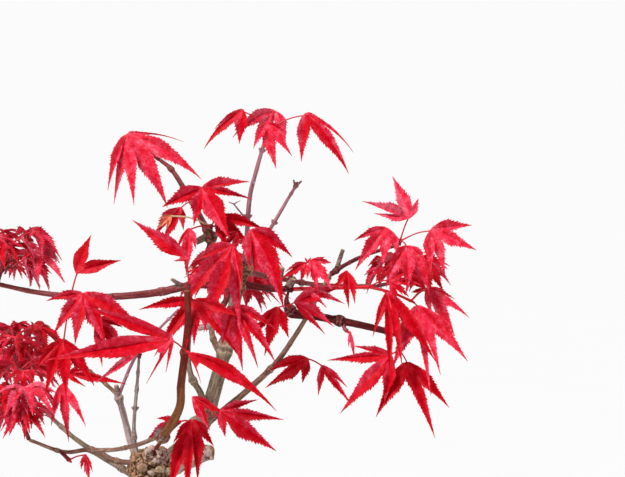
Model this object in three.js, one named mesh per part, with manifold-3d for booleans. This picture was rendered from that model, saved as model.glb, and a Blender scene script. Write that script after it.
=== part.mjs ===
// A small Japanese maple grown in a tray pot, with its red spring leaves.
// Millimetres, +Z up, origin on the middle of the pot's flat underside, the viewer on the -Y side.

import * as THREE from "three";
import { mergeVertices } from "three/addons/utils/BufferGeometryUtils.js";
import Module from "manifold-3d";

const wasm = await Module();
wasm.setup();

// Driving sizes
const GROUND = 56; // height of the soil under the trunk
const GAP = 0.3; // clearance between neighbouring pieces
const POT = {
  length: 190, width: 140, height: 50, foot: 112, lip: 5, lipHeight: 9, wall: 6, floor: 7, sides: 28,
};
const DRAIN = { radius: 6, offset: 42, sides: 12 };
const SOIL = { edge: 44, flat: 31, gap: 0.5, crown: 2.5, rings: 5, lump: [0.5, 1.4], seed: 9 };
const FLARE = { spread: 10, height: 8, roots: 5, depth: 0.3, sides: 15, steps: 14 };

// The tree is laid out as it is seen from this far in front of this point, so a piece's place is
// its x and z on the plane of the trunk, and its depth behind that plane.
const EYE = { x: 63.75, z: 260.75, distance: 800 };

// A blade's lobes are shares of its size: how wide and where widest, where the notches between them
// lie, how far the sides fold up from the rib, and how far every other lobe stands forward.
const BLADE = {
  widest: 0.45, notch: 0.28, heel: 0.1, heelTurn: 50, fold: 0.4, stagger: 6, thickness: 0.7, hub: 1.2,
};
const FAN = [-76, -38, 0, 38, 76]; // degrees, the lobes of a leaf that is grown by rule
const STALK = { foot: 0.5, tip: 0.42, sunk: 0.04 }; // radii, and the share of the lobe that it is sunk in
const TWIG_SIDES = 3;

// How finely limbs are drawn.
const THICK = { radius: 3, sides: 8, steps: 12 };
const THIN = { sides: 5, steps: 7 };
const STUB_SIDES = 6;
const KNOB_STRETCH = 1.1; // half a knob's length, as a share of its radius
const FRAMES = 60;

const COLOURS = {
  pot: 0x4a3a33,
  soil: 0x54463a,
  bark: 0x8a7d72,
  shoot: 0x6d4650,
  leaf: 0xc8102e,
};

// Trunk and boughs: each path runs from where the limb starts, inside the limb that carries it.
// "r" is the radius at its foot and tip, "knobs" are swellings at a share of its length, and
// "stubs" are pruned shoots, each from a share of the length to a cut end.
const TRUNK = {
  name: "trunk",
  path: [[3, 48, 0], [3, 60, 0], [1, 78, 1], [-5, 100, 2], [-12, 122, 1], [-16.5, 142, 0], [-18, 155, 0]],
  r: [14.5, 8.6],
  knobs: [[0.99, 8.2], [0.93, 10.3]],
  stubs: [
    { at: 0.88, end: [10.5, 154, -3], r: [5.4, 4.2] },
    { at: 0.95, end: [-21.5, 146.8, -12], r: [4, 2.9] },
    { at: 0.97, end: [-14.5, 158.5, -7], r: [5, 3.6] },
    { at: 0.9, end: [-29, 144.5, -2], r: [2.2, 1.3] },
  ],
};
const BOUGHS = [
  { name: "leader", on: "trunk", r: [5.6, 3.5], knobs: [[0.9, 4.6], [0.985, 4.9]],
    path: [[-13, 146, 0], [0, 158, 2], [10, 170, 3], [14, 183, 3], [19.5, 203.5, 1], [24, 225, 0],
      [27, 238, 0], [30.5, 248, 0]],
    stubs: [{ at: 0.3, end: [3, 168, -4], r: [3.4, 2.9] }] },
  { name: "whip", on: "leader", r: [1.7, 1.15], knobs: [[0.12, 2.1]],
    path: [[30, 245, 0], [31, 262, 0], [32.5, 282, 0], [36, 296, -1], [40.5, 311.5, -2]] },
  { name: "bare_twig", on: "leader", r: [1.4, 0.95], knobs: [[0.96, 1.6]],
    path: [[31, 246, 2], [43.5, 267, 4], [56.5, 289, 6]] },
  { name: "right_bough", on: "leader", r: [3.1, 2.5], knobs: [[0.96, 3.2]],
    path: [[29, 238, 0], [36, 236.5, 0], [45, 235.5, -1], [54, 235.5, -2]],
    stubs: [{ at: 0.9, end: [57, 242.8, -4], r: [2.4, 1.9] }] },
  { name: "outer_right_bough", on: "right_bough", r: [2.6, 1.8], knobs: [[0.17, 3.2], [0.55, 3]],
    path: [[52, 235, -2], [50.8, 229, -2], [54, 223.6, -2], [65, 222, -3], [78, 219.5, -4],
      [92.5, 216.5, -5], [106, 213, -5]] },
  { name: "diagonal_bough", on: "leader", r: [2.5, 1.3], knobs: [[0.42, 2.3], [0.97, 2.2]],
    path: [[10, 168, 3], [19.5, 175, 7], [32.5, 186, 11], [45, 198, 14], [57.5, 216, 16], [66, 231, 16],
      [73, 243.5, 14]] },
  { name: "upper_right_bough", on: "diagonal_bough", r: [1.5, 1], knobs: [[0.08, 2]],
    path: [[73, 243, 14], [80, 247.5, 12], [88, 251.5, 10], [98, 255, 7], [107, 257.5, 4]],
    stubs: [{ at: 0.08, end: [79, 255.3, 13], r: [1.3, 1] }] },
  { name: "left_bough", on: "leader", r: [3, 1.4], knobs: [[0.3, 3]],
    path: [[25, 236.5, 0], [12, 238, -3], [1.5, 237, -5], [-12.5, 234, -8], [-30, 232, -10],
      [-52, 231.5, -10], [-75, 234, -6], [-94, 238, 2]],
    stubs: [{ at: 0.21, end: [-7, 240.5, -10], r: [1.5, 0.7] }] },
  { name: "upper_left_bough", on: "left_bough", r: [2.4, 1.1], knobs: [[0.34, 3.6], [0.4, 2.8], [0.9, 1.6]],
    path: [[12, 237.5, -3], [10.5, 249, -1], [13, 260, 1], [8, 270.5, 3], [-1, 286.5, 5], [-7.5, 296, 6],
      [-12.5, 300, 6]],
    stubs: [
      { at: 0.36, end: [5.5, 259, -3], r: [2, 1.6] },
      { at: 0.36, end: [19, 263, -3], r: [1.7, 1.2] },
    ] },
  { name: "low_left_bough", on: "trunk", r: [2.3, 1.3], knobs: [[0.47, 2.6]],
    path: [[-19, 149, -1], [-34, 149.5, -4], [-46, 155, -8], [-60, 154, -10], [-78, 160, -6]] },
  { name: "front_arm", on: "low_left_bough", r: [1.8, 1.7], knobs: [],
    path: [[-46, 155, -8], [-35, 155.2, -27], [-22.5, 158, -47], [-12.5, 162, -62]] },
  { name: "front_bough", on: "front_arm", r: [2.1, 1.4], knobs: [[0.02, 3.6], [0.62, 2.4]],
    path: [[-12, 161.5, -61], [-8, 166, -67], [-2.5, 177, -70], [-2, 187.5, -73], [0, 204, -75],
      [1.5, 220, -75], [1, 235, -75]] },
  { name: "left_bough_low", on: "trunk", r: [2.4, 1.8], knobs: [[0.95, 2.6]],
    path: [[-22, 147, 2], [-26.5, 157, 3], [-29.5, 168, 3], [-33.5, 183, 3]],
    stubs: [{ at: 0.95, end: [-34.5, 187.5, 1], r: [1.5, 1.2] }] },
  { name: "left_twig_outer", on: "left_bough_low", r: [1.2, 0.85], knobs: [[0.9, 1.3]],
    path: [[-33.5, 182.5, 3], [-42, 190, 3], [-49, 195.5, 2]] },
  { name: "left_twig_inner", on: "left_bough_low", r: [1.2, 0.8], knobs: [],
    path: [[-33, 183, 3], [-25, 201, 4], [-19, 208, 5], [-12.5, 216, 7], [-3, 225.5, 10]] },
  { name: "thin_bough", on: "trunk", r: [1.5, 0.9], knobs: [[0.26, 1.9], [0.7, 1.5], [0.86, 1.4]],
    path: [[-22, 148, -5], [-25, 158, -6], [-25.5, 167, -6], [-24, 187, -5], [-23, 201, -4]] },
  { name: "side_bough", on: "leader", r: [2.3, 1.5], knobs: [[0.5, 2.6]],
    path: [[11, 172, 2], [8, 183, -3], [3.5, 191, -7], [1.5, 201, -10], [2, 211, -12]] },
  { name: "short_spur", on: "leader", r: [1.7, 1.4], knobs: [[0.72, 1.9], [0.95, 1.8]],
    path: [[22, 219, 0], [14, 217.5, -4], [6.5, 216, -7]] },
  { name: "left_front_bough", on: "left_bough", r: [1.5, 1], knobs: [[0.5, 1.5]],
    path: [[-36, 232, -10], [-46, 230, -26], [-54, 229, -42], [-58, 230, -54]] },
  { name: "back_left_bough", on: "trunk", r: [3.4, 1.6], knobs: [[0.55, 3]],
    path: [[-15, 136, 2], [-32, 146, 24], [-54, 160, 46], [-74, 178, 60]] },
  { name: "back_bough", on: "leader", r: [2.6, 1.3], knobs: [[0.5, 2.4]],
    path: [[18.5, 202, 2], [14, 211, 22], [14, 221, 46], [20, 230, 66]] },
  { name: "back_right_bough", on: "leader", r: [1.9, 1.2], knobs: [[0.5, 2.1]],
    path: [[29.5, 244.5, 0], [38, 242.5, 15], [68, 237.5, 33], [96, 237, 42]] },
];

// A leaf by hand: its base, its size, and the way each lobe sets out as the viewer sees it, in
// degrees from the right, counterclockwise. The lobe nearest to "longest" is as long as the size,
// and the furthest from it is shorter by "fall". "droop" bends the lobes towards the ground,
// "width" is half a lobe's width as a share of its length, and "tilt" is how steeply the blade
// slopes, so that lobes which hang reach towards the viewer and lobes which stand up reach back.
function leaf(x, z, depth, size, lobes, options = {}) {
  const sorted = [...lobes].sort((a, b) => a - b);
  const middle = (sorted[0] + sorted.at(-1)) / 2;
  const usual = { longest: middle, fall: 0.3, droop: 0.2, width: 0.17, tilt: 28 };
  return { x, z, depth, size, lobes: sorted, ...usual, ...options };
}

// Foliage in the viewer's sight: each mass has one stem on its limb, and side twigs from that
// stem. The leaves of a twig stand on its tip.
const SPRAYS = [
  { name: "foliage_top_left", on: "upper_left_bough", at: 1,
    twigs: [{ path: [[-12.5, 300, 6], [-18, 303.5, 3], [-22, 306, 0]],
      leaves: [leaf(-29.5, 313.5, -5, 45, [2, -16, -46, -80, -100, -122],
        { longest: -46, width: 0.09, droop: 0.26 })] }] },
  { name: "foliage_upper_left", on: "upper_left_bough", at: 0.62,
    twigs: [{ path: [[2, 280, 4], [3.5, 279, -3], [4, 280, -8]],
      leaves: [leaf(9, 286, -11, 24, [12, -12, -50, -105, -160], { longest: -14, droop: 0.1 }),
        leaf(-2, 276.5, -9, 17.5, [-82, -122, -152])] }] },
  { name: "foliage_knob", on: "upper_left_bough", at: 0.42,
    twigs: [{ path: [[10.5, 266, 2], [13, 266, -5], [13, 267, -10]],
      leaves: [leaf(14.5, 272.5, -12, 20, [-3, -24, -62], { longest: -8 }),
        leaf(25, 266, -15, 12, [-105, -142, -172]),
        leaf(2.5, 265.5, -16, 17, [-58, -90, -128]),
        leaf(-5, 272, -20, 10, [-110, -145, -178])] }] },
  { name: "foliage_top", on: "whip", at: 1,
    twigs: [{ path: [[40.5, 311.5, -2], [41, 313.5, -2], [42, 315.5, -3]],
      leaves: [leaf(28.5, 326, 0, 29.5, [-100, -142, -160], { longest: -142, droop: 0.3 }),
        leaf(45.5, 325, 4, 26, [-60, -140, -172], { longest: -165, droop: 0.4 }),
        leaf(40, 319, -10, 26, [-24, -52, -79, -115], { longest: -75, droop: 0.1 }),
        leaf(60.5, 323.5, -5, 34, [-28, -44, -100], { longest: -35, droop: 0.3, width: 0.11 })] }] },
  { name: "foliage_centre", on: "whip", at: 0.24,
    twigs: [{ path: [[31, 261, 0], [30, 260, -12], [28, 259, -22]],
      leaves: [leaf(23, 257.5, -28, 35, [-70, -89, -111, -141, -168], { longest: -108 }),
        leaf(33, 265, -28, 37, [4, -42, -70, -98], { longest: -42, fall: 0.35, droop: 0.36 })] }] },
  { name: "foliage_right_node", on: "right_bough", at: 0.93,
    twigs: [{ path: [[52.5, 236, -2], [53, 243, -6], [57, 246, -9]],
      leaves: [leaf(61.5, 249, -11, 14.5, [-122, -148, -172]), leaf(62.5, 249, -13, 14, [2, -38, -74, -104]),
        leaf(60, 250, -5, 5, [60, 110])] }] },
  { name: "foliage_red_shoot", on: "right_bough", at: 1,
    twigs: [{ path: [[54.3, 235.6, -2], [72.5, 236, -6], [92, 236.5, -8]],
      leaves: [leaf(104, 240, -18, 12, [32, 4, -26, -70], { longest: 25 }),
        leaf(101.5, 231.5, -20, 34, [-62, -77, -90, -114], { longest: -76, width: 0.08, droop: 0.1 })] },
    { path: [[92, 236.5, -8], [104, 233.5, -10], [113, 229.5, -12]],
      leaves: [leaf(116, 228.5, -14, 36, [-44, -68, -84, -118], { longest: -60, droop: 0.1, width: 0.12 }),
        leaf(121.5, 235, -2, 21.5, [-4, -28, -52, -80], { longest: -30 }),
        leaf(121, 236, 2, 11, [140, 162], { width: 0.2 })] },
    { path: [[54.3, 235.6, -2], [56, 235.6, -6], [58, 236, -9]],
      leaves: [leaf(59, 235.5, -11, 18, [-4, -18, -32], { width: 0.1, droop: 0.1 })] },
    { path: [[73, 236, -6], [76, 238, -10]],
      leaves: [leaf(81, 244.5, -14, 19, [-68, -88, -124], { longest: -86, fall: 0.5, droop: 0.1 })] }] },
  { name: "foliage_lower_node", on: "outer_right_bough", at: 0.19,
    twigs: [{ path: [[52, 225.5, -2], [52, 226, -6], [52, 227, -9]],
      leaves: [leaf(55.5, 228.5, -12, 24, [6, -30, -50], { longest: -30, droop: 0.1 }),
        leaf(47.5, 225.5, -14, 24, [-64, -90, -118], { longest: -112, droop: 0.1 })] }] },
  { name: "foliage_under_right", on: "outer_right_bough", at: 0.6,
    twigs: [{ path: [[78, 219.5, -4], [79.5, 216, -6], [81, 214.5, -7]],
      leaves: [leaf(82, 213, -8, 12, [-72, -98], { width: 0.1 })] }] },
  { name: "foliage_right_low", on: "outer_right_bough", at: 1,
    twigs: [{ path: [[106.3, 213, -5], [107, 209, -9], [107.5, 204.5, -13]],
      leaves: [leaf(102, 202, -18, 31.5, [-104, -132, -178, -196],
        { longest: -145, droop: 0.06, width: 0.13 }),
        leaf(110, 197.5, -14, 37, [-43, -67, -128], { longest: -58, droop: 0.12, width: 0.12 })] }] },
  { name: "foliage_right_top", on: "upper_right_bough", at: 1,
    twigs: [{ path: [[107.2, 257.5, 4], [107.5, 259.5, 2]],
      leaves: [leaf(112, 270, 0, 25.5, [68, 111, 160, 180], { longest: 135, droop: 0.02 }),
        leaf(100.5, 265, -8, 22.5, [-60, -97, -127, -158], { longest: -130 }),
        leaf(123, 265.5, -2, 24.5, [8, -20, -72, -94], { longest: -48, droop: 0.08 }),
        leaf(111.5, 257.5, -12, 22, [-22, -54, -90, -130, -158], { droop: 0.4 })] }] },
  { name: "foliage_diagonal", on: "diagonal_bough", at: 0.44,
    twigs: [{ path: [[46, 199, 14], [52, 201, 9], [58, 201.5, 6]],
      leaves: [leaf(62, 200, 4, 23.5, [-122, -148, -170], { droop: 0.12 }),
        leaf(68.5, 197, 3, 22, [-36, -54, -98], { longest: -52, width: 0.1, droop: 0.08 })] }] },
  { name: "foliage_leader", on: "leader", at: 0.8,
    twigs: [{ path: [[23.5, 221, 0], [23, 224, -12], [22, 226, -24]],
      leaves: [leaf(21.5, 227, -32, 36, [-12, -44, -64, -80, -112], { longest: -70, droop: 0.2 })] }] },
  { name: "foliage_leader_foot", on: "leader", at: 0.33,
    twigs: [{ path: [[10, 170, 3], [13, 171, -12], [16, 172, -26]],
      leaves: [leaf(18.5, 174.5, -34, 38, [28, -6, -32, -82], { longest: -22, fall: 0.62, droop: 0.06 }),
        leaf(2.5, 182, -22, 17, [-8, -28, -52])] }] },
  { name: "foliage_head", on: "trunk", at: 0.97,
    twigs: [{ path: [[-17, 152, -4], [-9, 163, -26], [-3, 169, -42]],
      leaves: [leaf(3.5, 170, -52, 30, [-48, -74, -94, -112, -132]),
        leaf(-5, 170, -50, 17, [-126, -150, -195], { longest: -148 })] }] },
  { name: "foliage_front", on: "front_bough", at: 1,
    twigs: [{ path: [[1, 235.2, -75], [2, 238, -76]],
      leaves: [leaf(-0.5, 249.5, -80, 27, [142, 196], { longest: 142, fall: 0.6, width: 0.13, droop: 0.02 }),
        leaf(2, 231.5, -66, 27, [-24, -58, -98, -136, -176],
          { longest: -176, width: 0.12, droop: 0.12 })] }] },
  { name: "foliage_front_side", on: "front_bough", at: 0.62,
    twigs: [{ path: [[-0.5, 204, -75], [1, 204, -82]],
      leaves: [leaf(3, 203, -88, 48, [-14, -60], { longest: -14, fall: 0.55, width: 0.08, droop: 0.28 }),
        leaf(-3.5, 209, -86, 49, [152, 186, 240, 258],
          { longest: 180, fall: 0.5, width: 0.085, droop: 0.05 })] }] },
  { name: "foliage_left_front", on: "left_front_bough", at: 1,
    twigs: [{ path: [[-58, 230, -54], [-57, 232, -60]],
      leaves: [leaf(-52.5, 233.5, -66, 27, [-6, -60, -97, -132, -165], { longest: -70, width: 0.16 }),
        leaf(-54, 244, -58, 29, [22, 76], { longest: 22, width: 0.15, droop: 0.14 }),
        leaf(-60, 213, -66, 30, [-40, -76, -110, -140], { longest: -76 })] }] },
  { name: "foliage_side_bough", on: "side_bough", at: 1,
    twigs: [{ path: [[2, 211, -12], [3, 214, -20]],
      leaves: [leaf(7, 229, -26, 30, [-40, -66, -92, -118])] }] },
  { name: "foliage_left_twig", on: "left_twig_outer", at: 1,
    twigs: [{ path: [[-49.2, 195.6, 2], [-53, 197, -4]],
      leaves: [leaf(-58, 196, -10, 29, [10, -6, -22], { width: 0.12, droop: 0.08 }),
        leaf(-62.5, 188, -10, 30, [-52, -78, -104], { longest: -52, width: 0.1 })] }] },
  { name: "foliage_low_left", on: "low_left_bough", at: 0.72,
    twigs: [{ path: [[-61, 154, -10], [-58, 150, -14]],
      leaves: [leaf(-51.5, 151.5, -16, 14, [-48, -80, -110])] }] },
  { name: "foliage_thin_bough", on: "thin_bough", at: 1,
    twigs: [{ path: [[-23, 201.2, -4], [-22.5, 203, -5]],
      leaves: [leaf(-24, 204.5, -8, 20.5, [40, 155, 213],
        { longest: 213, fall: 0.6, width: 0.08, droop: 0 })] }] },
];

// Foliage out of the viewer's sight, grown by a rule inside a space of its own: "heart" is the
// middle of that space and "reach" is its half sizes across, in height and in depth. None of these
// spaces shows through the openings that the viewer sees the sky through.
const GROWN = [
  { name: "foliage_left_tip", on: "left_bough", at: 1,
    heart: [-90, 250, 4], reach: [33, 36, 46], twigs: 4, seed: 11 },
  { name: "foliage_left_low", on: "low_left_bough", at: 1,
    heart: [-86, 182, -14], reach: [29, 34, 46], twigs: 4, seed: 5 },
  { name: "foliage_back_left", on: "back_left_bough", at: 1,
    heart: [-88, 204, 64], reach: [32, 36, 42], twigs: 4, seed: 14 },
  { name: "foliage_back", on: "back_bough", at: 1,
    heart: [24, 242, 84], reach: [30, 32, 36], twigs: 4, seed: 31 },
  { name: "foliage_back_inner", on: "back_bough", at: 0.5,
    heart: [25, 236, 44], reach: [30, 30, 30], twigs: 3, seed: 42 },
  { name: "foliage_back_right", on: "back_right_bough", at: 1,
    heart: [110, 240, 52], reach: [27, 32, 36], twigs: 3, seed: 23 },
];
const GROWTH = {
  start: 0.25, // share of the stem where the side twigs begin
  golden: 137.5, // degrees between one side twig and the next
  jitter: 30, // degrees, how far a twig may stray from that at the first try
  attempts: 12,
  rise: [-5, 35], // degrees above level
  lastRise: [55, 80],
  length: [0.2, 0.5], // share of the reach
  arch: 1.5, // mm
  stalk: [9, 14], // mm
  stalkRise: 35, // degrees
  fork: 62, // degrees that a leaf stalk leaves its twig by
  size: [20, 28], // mm, length of the middle lobe
  width: 0.125, // share of a lobe's length
  dip: [15, 60], // degrees below level that a leaf points
  room: 3.6, // mm between a leaf's ribs and what it keeps clear of
  stemRadius: 1.1,
  twigRadius: 0.8,
  taper: 0.8, // share of its radius that a twig keeps to its tip
};

const rad = THREE.MathUtils.degToRad;
const vec = (x, y, z) => new THREE.Vector3(x, y, z);

// A place on the trunk's plane, carried along the line of sight to its depth.
function place([x, z, depth]) {
  const share = 1 + depth / EYE.distance;
  return vec(EYE.x + (x - EYE.x) * share, depth, EYE.z + (z - EYE.z) * share);
}

// The reverse: where the viewer sees a point, as x, z and depth.
function seen(point) {
  const share = 1 + point.y / EYE.distance;
  return [EYE.x + (point.x - EYE.x) / share, EYE.z + (point.z - EYE.z) / share, point.y];
}

// A small seeded generator of numbers from 0 to 1, so that a plant grows the same way each time.
function seeded(seed) {
  let state = seed >>> 0;
  return () => {
    state = (state + 0x6d2b79f5) >>> 0;
    let t = Math.imul(state ^ (state >>> 15), state | 1);
    t = (t + Math.imul(t ^ (t >>> 7), t | 61)) ^ t;
    return ((t ^ (t >>> 14)) >>> 0) / 4294967296;
  };
}
const between = (random, [low, high]) => low + (high - low) * random();

// A three.js geometry as a solid that can be cut and joined.
function solidOf(geometry) {
  const bare = geometry.clone();
  bare.deleteAttribute("normal");
  bare.deleteAttribute("uv");
  const merged = mergeVertices(bare, 1e-4);
  return new wasm.Manifold(new wasm.Mesh({
    numProp: 3,
    vertProperties: new Float32Array(merged.attributes.position.array),
    triVerts: new Uint32Array(merged.index.array),
  }));
}

function geometryOf(solid) {
  const mesh = solid.getMesh();
  const geometry = new THREE.BufferGeometry();
  geometry.setAttribute("position", new THREE.BufferAttribute(new Float32Array(mesh.vertProperties), 3));
  geometry.setIndex(new THREE.BufferAttribute(new Uint32Array(mesh.triVerts), 1));
  geometry.computeVertexNormals();
  return geometry;
}

// The largest body of a solid, without the scraps that a cut can leave.
function largest(solid) {
  return solid.decompose().sort((a, b) => b.volume() - a.volume())[0];
}

// Shares of a limb's length where its section is drawn: even steps, and the ends and middle of each knob.
function ringsOf(curve, knobs, steps) {
  const spans = knobs.map(([at, radius]) => ({ at, half: knobHalf(curve, radius) }));
  const even = Array.from({ length: steps + 1 }, (_, i) => i / steps);
  const kept = even.filter((share) => [0, 1].includes(share)
    || spans.every(({ at, half }) => Math.abs(share - at) > half * 1.3));
  const added = spans.flatMap(({ at, half }) => [at - half, at, at + half]);
  return [...kept, ...added.filter((share) => share > 0.01 && share < 0.99)].sort((a, b) => a - b);
}
const knobHalf = (curve, radius) => (KNOB_STRETCH * radius) / curve.getLength();

// How much the knobs add to a limb's radius at a share of its length.
function swelling(curve, knobs, share, radius) {
  return knobs.reduce((most, [at, knob]) => {
    const near = Math.max(0, 1 - Math.abs(share - at) / knobHalf(curve, knob));
    return Math.max(most, (knob - radius) * near * near * (3 - 2 * near));
  }, 0);
}

// A cylinder bent along a curve, with its sections at the rings given as shares of the length.
// radiusAt takes the share of the length and the angle round the section.
function sweep(curve, radiusAt, sides, rings) {
  const steps = rings.length - 1;
  const geometry = new THREE.CylinderGeometry(1, 1, 1, sides, steps);
  const frames = curve.computeFrenetFrames(FRAMES, false);
  const position = geometry.attributes.position;
  for (let i = 0; i < position.count; i++) {
    const share = rings[Math.round((position.getY(i) + 0.5) * steps)];
    const frame = Math.round(share * FRAMES);
    const angle = Math.atan2(position.getX(i), position.getZ(i));
    const radius = radiusAt(share, angle);
    const point = curve.getPointAt(share)
      .addScaledVector(frames.normals[frame], position.getX(i) * radius)
      .addScaledVector(frames.binormals[frame], -position.getZ(i) * radius);
    position.setXYZ(i, point.x, point.y, point.z);
  }
  return solidOf(geometry);
}

const curveOf = (path) => new THREE.CatmullRomCurve3(path.map(place), false, "centripetal");

function rodSolid(from, to, [foot, tip], sides) {
  return sweep(new THREE.LineCurve3(from, to), (share) => foot + (tip - foot) * share, sides, [0, 1]);
}

// A limb's pruned stubs, joined to it.
function withStubs(solid, limb, curve, grow) {
  return (limb.stubs ?? []).reduce((whole, stub) => {
    const radii = stub.r.map((r) => r + grow);
    return whole.add(rodSolid(curve.getPointAt(stub.at), place(stub.end), radii, STUB_SIDES));
  }, solid);
}

// A limb with its knobs and stubs; grow swells it all round, to cut a clearance for it.
function limbSolid(limb, grow = 0) {
  const curve = curveOf(limb.path);
  const [foot, tip] = limb.r;
  const radiusAt = (share) => {
    const radius = foot + (tip - foot) * share;
    return radius + swelling(curve, limb.knobs, share, radius) + grow;
  };
  const { sides, steps } = foot > THICK.radius ? THICK : THIN;
  return withStubs(sweep(curve, radiusAt, sides, ringsOf(curve, limb.knobs, steps)), limb, curve, grow);
}

// The trunk, with root flare, cut flat at ground level.
function trunkSolid(grow = 0) {
  const curve = curveOf(TRUNK.path);
  const [foot, tip] = TRUNK.r;
  const radiusAt = (share, angle) => {
    const height = Math.max(0, curve.getPointAt(share).z - GROUND);
    const flare = FLARE.spread * Math.exp(-height / FLARE.height);
    const ridge = 1 + FLARE.depth * Math.cos(FLARE.roots * angle);
    const radius = foot + (tip - foot) * share;
    return radius + flare * ridge + swelling(curve, TRUNK.knobs, share, radius) + grow;
  };
  const whole = sweep(curve, radiusAt, FLARE.sides, ringsOf(curve, TRUNK.knobs, FLARE.steps));
  const below = new THREE.BoxGeometry(200, 200, 60);
  below.translate(0, 0, GROUND - 30);
  return largest(withStubs(whole, TRUNK, curve, grow).subtract(solidOf(below)));
}

// The blade of a leaf laid out by hand: it faces the viewer.
function bladeOf(entry) {
  const ahead = vec(1, 0, 0);
  const side = vec(0, 0, 1);
  const size = entry.size * (1 + entry.depth / EYE.distance);
  return { ...entry, base: place([entry.x, entry.z, entry.depth]), ahead, side, size };
}

// How long a blade's lobe is.
function lobeLength(blade, turn) {
  const furthest = Math.max(...blade.lobes.map((lobe) => Math.abs(lobe - blade.longest)));
  const off = Math.min(1, Math.abs(turn - blade.longest) / furthest);
  return (blade.size * (1 - blade.fall * off * off)) / Math.cos(rad(leanOf(blade, turn)));
}

// How far one edge of a lobe stands off its rib: no further than the notch beside it.
function halfWidth(blade, i, way) {
  const gap = Math.abs((blade.lobes[i + way] ?? Infinity) - blade.lobes[i]);
  const share = gap < 90 ? Math.min(blade.width, BLADE.widest * Math.tan(rad(gap / 2))) : blade.width;
  return share * lobeLength(blade, blade.lobes[i]);
}

// A point of a blade: "turn" is the way its lobe sets out, "u" is the share of the lobe's length,
// "w" is the millimetres off its rib, and "forward" moves it towards the blade's upper side.
function bladePoint(blade, turn, u, w = 0, forward = 0) {
  const angle = rad(turn);
  const lean = rad(leanOf(blade, turn) + forward);
  const up = vec().crossVectors(blade.ahead, blade.side);
  const turned = (x, y) => blade.ahead.clone().multiplyScalar(x).addScaledVector(blade.side, y);
  const out = turned(Math.cos(angle), Math.sin(angle)).multiplyScalar(Math.cos(lean));
  out.addScaledVector(up, Math.sin(lean));
  const across = turned(-Math.sin(angle), Math.cos(angle));
  const down = vec(0, 0, -1).addScaledVector(out, out.z);
  const length = lobeLength(blade, turn);
  return blade.base.clone()
    .addScaledVector(out, length * u * (1 - 0.25 * blade.droop * u))
    .addScaledVector(down, length * blade.droop * u * u)
    .addScaledVector(across, w)
    .addScaledVector(up, BLADE.fold * Math.abs(w));
}
const leanOf = (blade, turn) => -blade.tilt * Math.sin(rad(turn));

// A blade as a closed thin solid: two faces that meet in its outline, thickest along the ribs.
function bladeSolid(blade) {
  const up = vec().crossVectors(blade.ahead, blade.side);
  const points = [];
  const add = (point) => points.push(point) - 1;
  const raised = (point, way, thickness = BLADE.thickness) => (
    add(point.clone().addScaledVector(up, (way * thickness) / 2)));
  const faces = [];
  const face = (a, b, c, way) => faces.push(...(way > 0 ? [a, b, c] : [a, c, b]));
  const { lobes } = blade;
  const centre = { 1: raised(blade.base, 1, BLADE.hub), "-1": raised(blade.base, -1, BLADE.hub) };
  const notches = [
    bladePoint(blade, lobes[0] - BLADE.heelTurn, BLADE.heel),
    ...lobes.slice(1).map((lobe, i) => bladePoint(blade, (lobe + lobes[i]) / 2, BLADE.notch)),
    bladePoint(blade, lobes.at(-1) + BLADE.heelTurn, BLADE.heel),
  ].map(add);
  lobes.forEach((turn, i) => {
    const forward = (i % 2 ? -1 : 1) * BLADE.stagger;
    const rib = bladePoint(blade, turn, BLADE.widest, 0, forward);
    const [right, left] = [-1, 1].map((way) => (
      add(bladePoint(blade, turn, BLADE.widest, way * halfWidth(blade, i, way), forward))));
    const tip = add(bladePoint(blade, turn, 1, 0, forward));
    for (const way of blade.plain ? [1] : [1, -1]) {
      const middle = raised(rib, way);
      const ring = [centre[way], notches[i], right, tip, left, notches[i + 1]];
      ring.forEach((from, k) => face(middle, from, ring[(k + 1) % ring.length], way));
    }
    if (blade.plain) {
      const edge = [notches[i], right, tip, left, notches[i + 1]];
      edge.slice(1).forEach((to, k) => face(centre[-1], edge[k], to, -1));
    }
  });
  face(centre[1], centre[-1], notches[0], 1);
  face(centre[1], notches.at(-1), centre[-1], 1);
  const geometry = new THREE.BufferGeometry().setFromPoints(points);
  geometry.setIndex(faces);
  return solidOf(geometry);
}

// A leaf on its stalk, which starts inside the twig and ends inside the blade.
function leafSolids(blade, from) {
  const inside = bladePoint(blade, blade.longest, STALK.sunk);
  return [rodSolid(from, inside, [STALK.foot, STALK.tip], TWIG_SIDES), bladeSolid(blade)];
}

const limbs = new Map([[TRUNK.name, TRUNK], ...BOUGHS.map((bough) => [bough.name, bough])]);
const curves = new Map([...limbs].map(([name, limb]) => [name, curveOf(limb.path)]));

// Where a mass's stem meets its limb, and where it starts: clear of a tip, inside a side.
function rootOf(mass, toward) {
  const curve = curves.get(mass.on);
  const point = curve.getPointAt(mass.at);
  if (mass.at < 1) return point;
  const ahead = toward.clone().sub(point).normalize();
  return point.addScaledVector(ahead, GAP);
}

function twigSolid(points, radii) {
  const curve = new THREE.CatmullRomCurve3(points, false, "centripetal");
  return sweep(curve, (share) => radii[0] + (radii[1] - radii[0]) * share, TWIG_SIDES, [0, 0.5, 1]);
}

// The solids of a mass laid out by hand.
function spraySolids(mass) {
  return mass.twigs.flatMap((twig, i) => {
    take(twig.leaves.flatMap((entry) => samplesOf(bladeOf(entry))));
    const points = twig.path.map(place);
    if (i === 0) points[0] = rootOf(mass, points[1]);
    const radius = i === 0 ? GROWTH.stemRadius : GROWTH.twigRadius;
    const tip = points.at(-1);
    return [
      twigSolid(points, [radius, radius * GROWTH.taper]),
      ...twig.leaves.flatMap((entry) => leafSolids(bladeOf(entry), tip)),
    ];
  });
}

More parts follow.
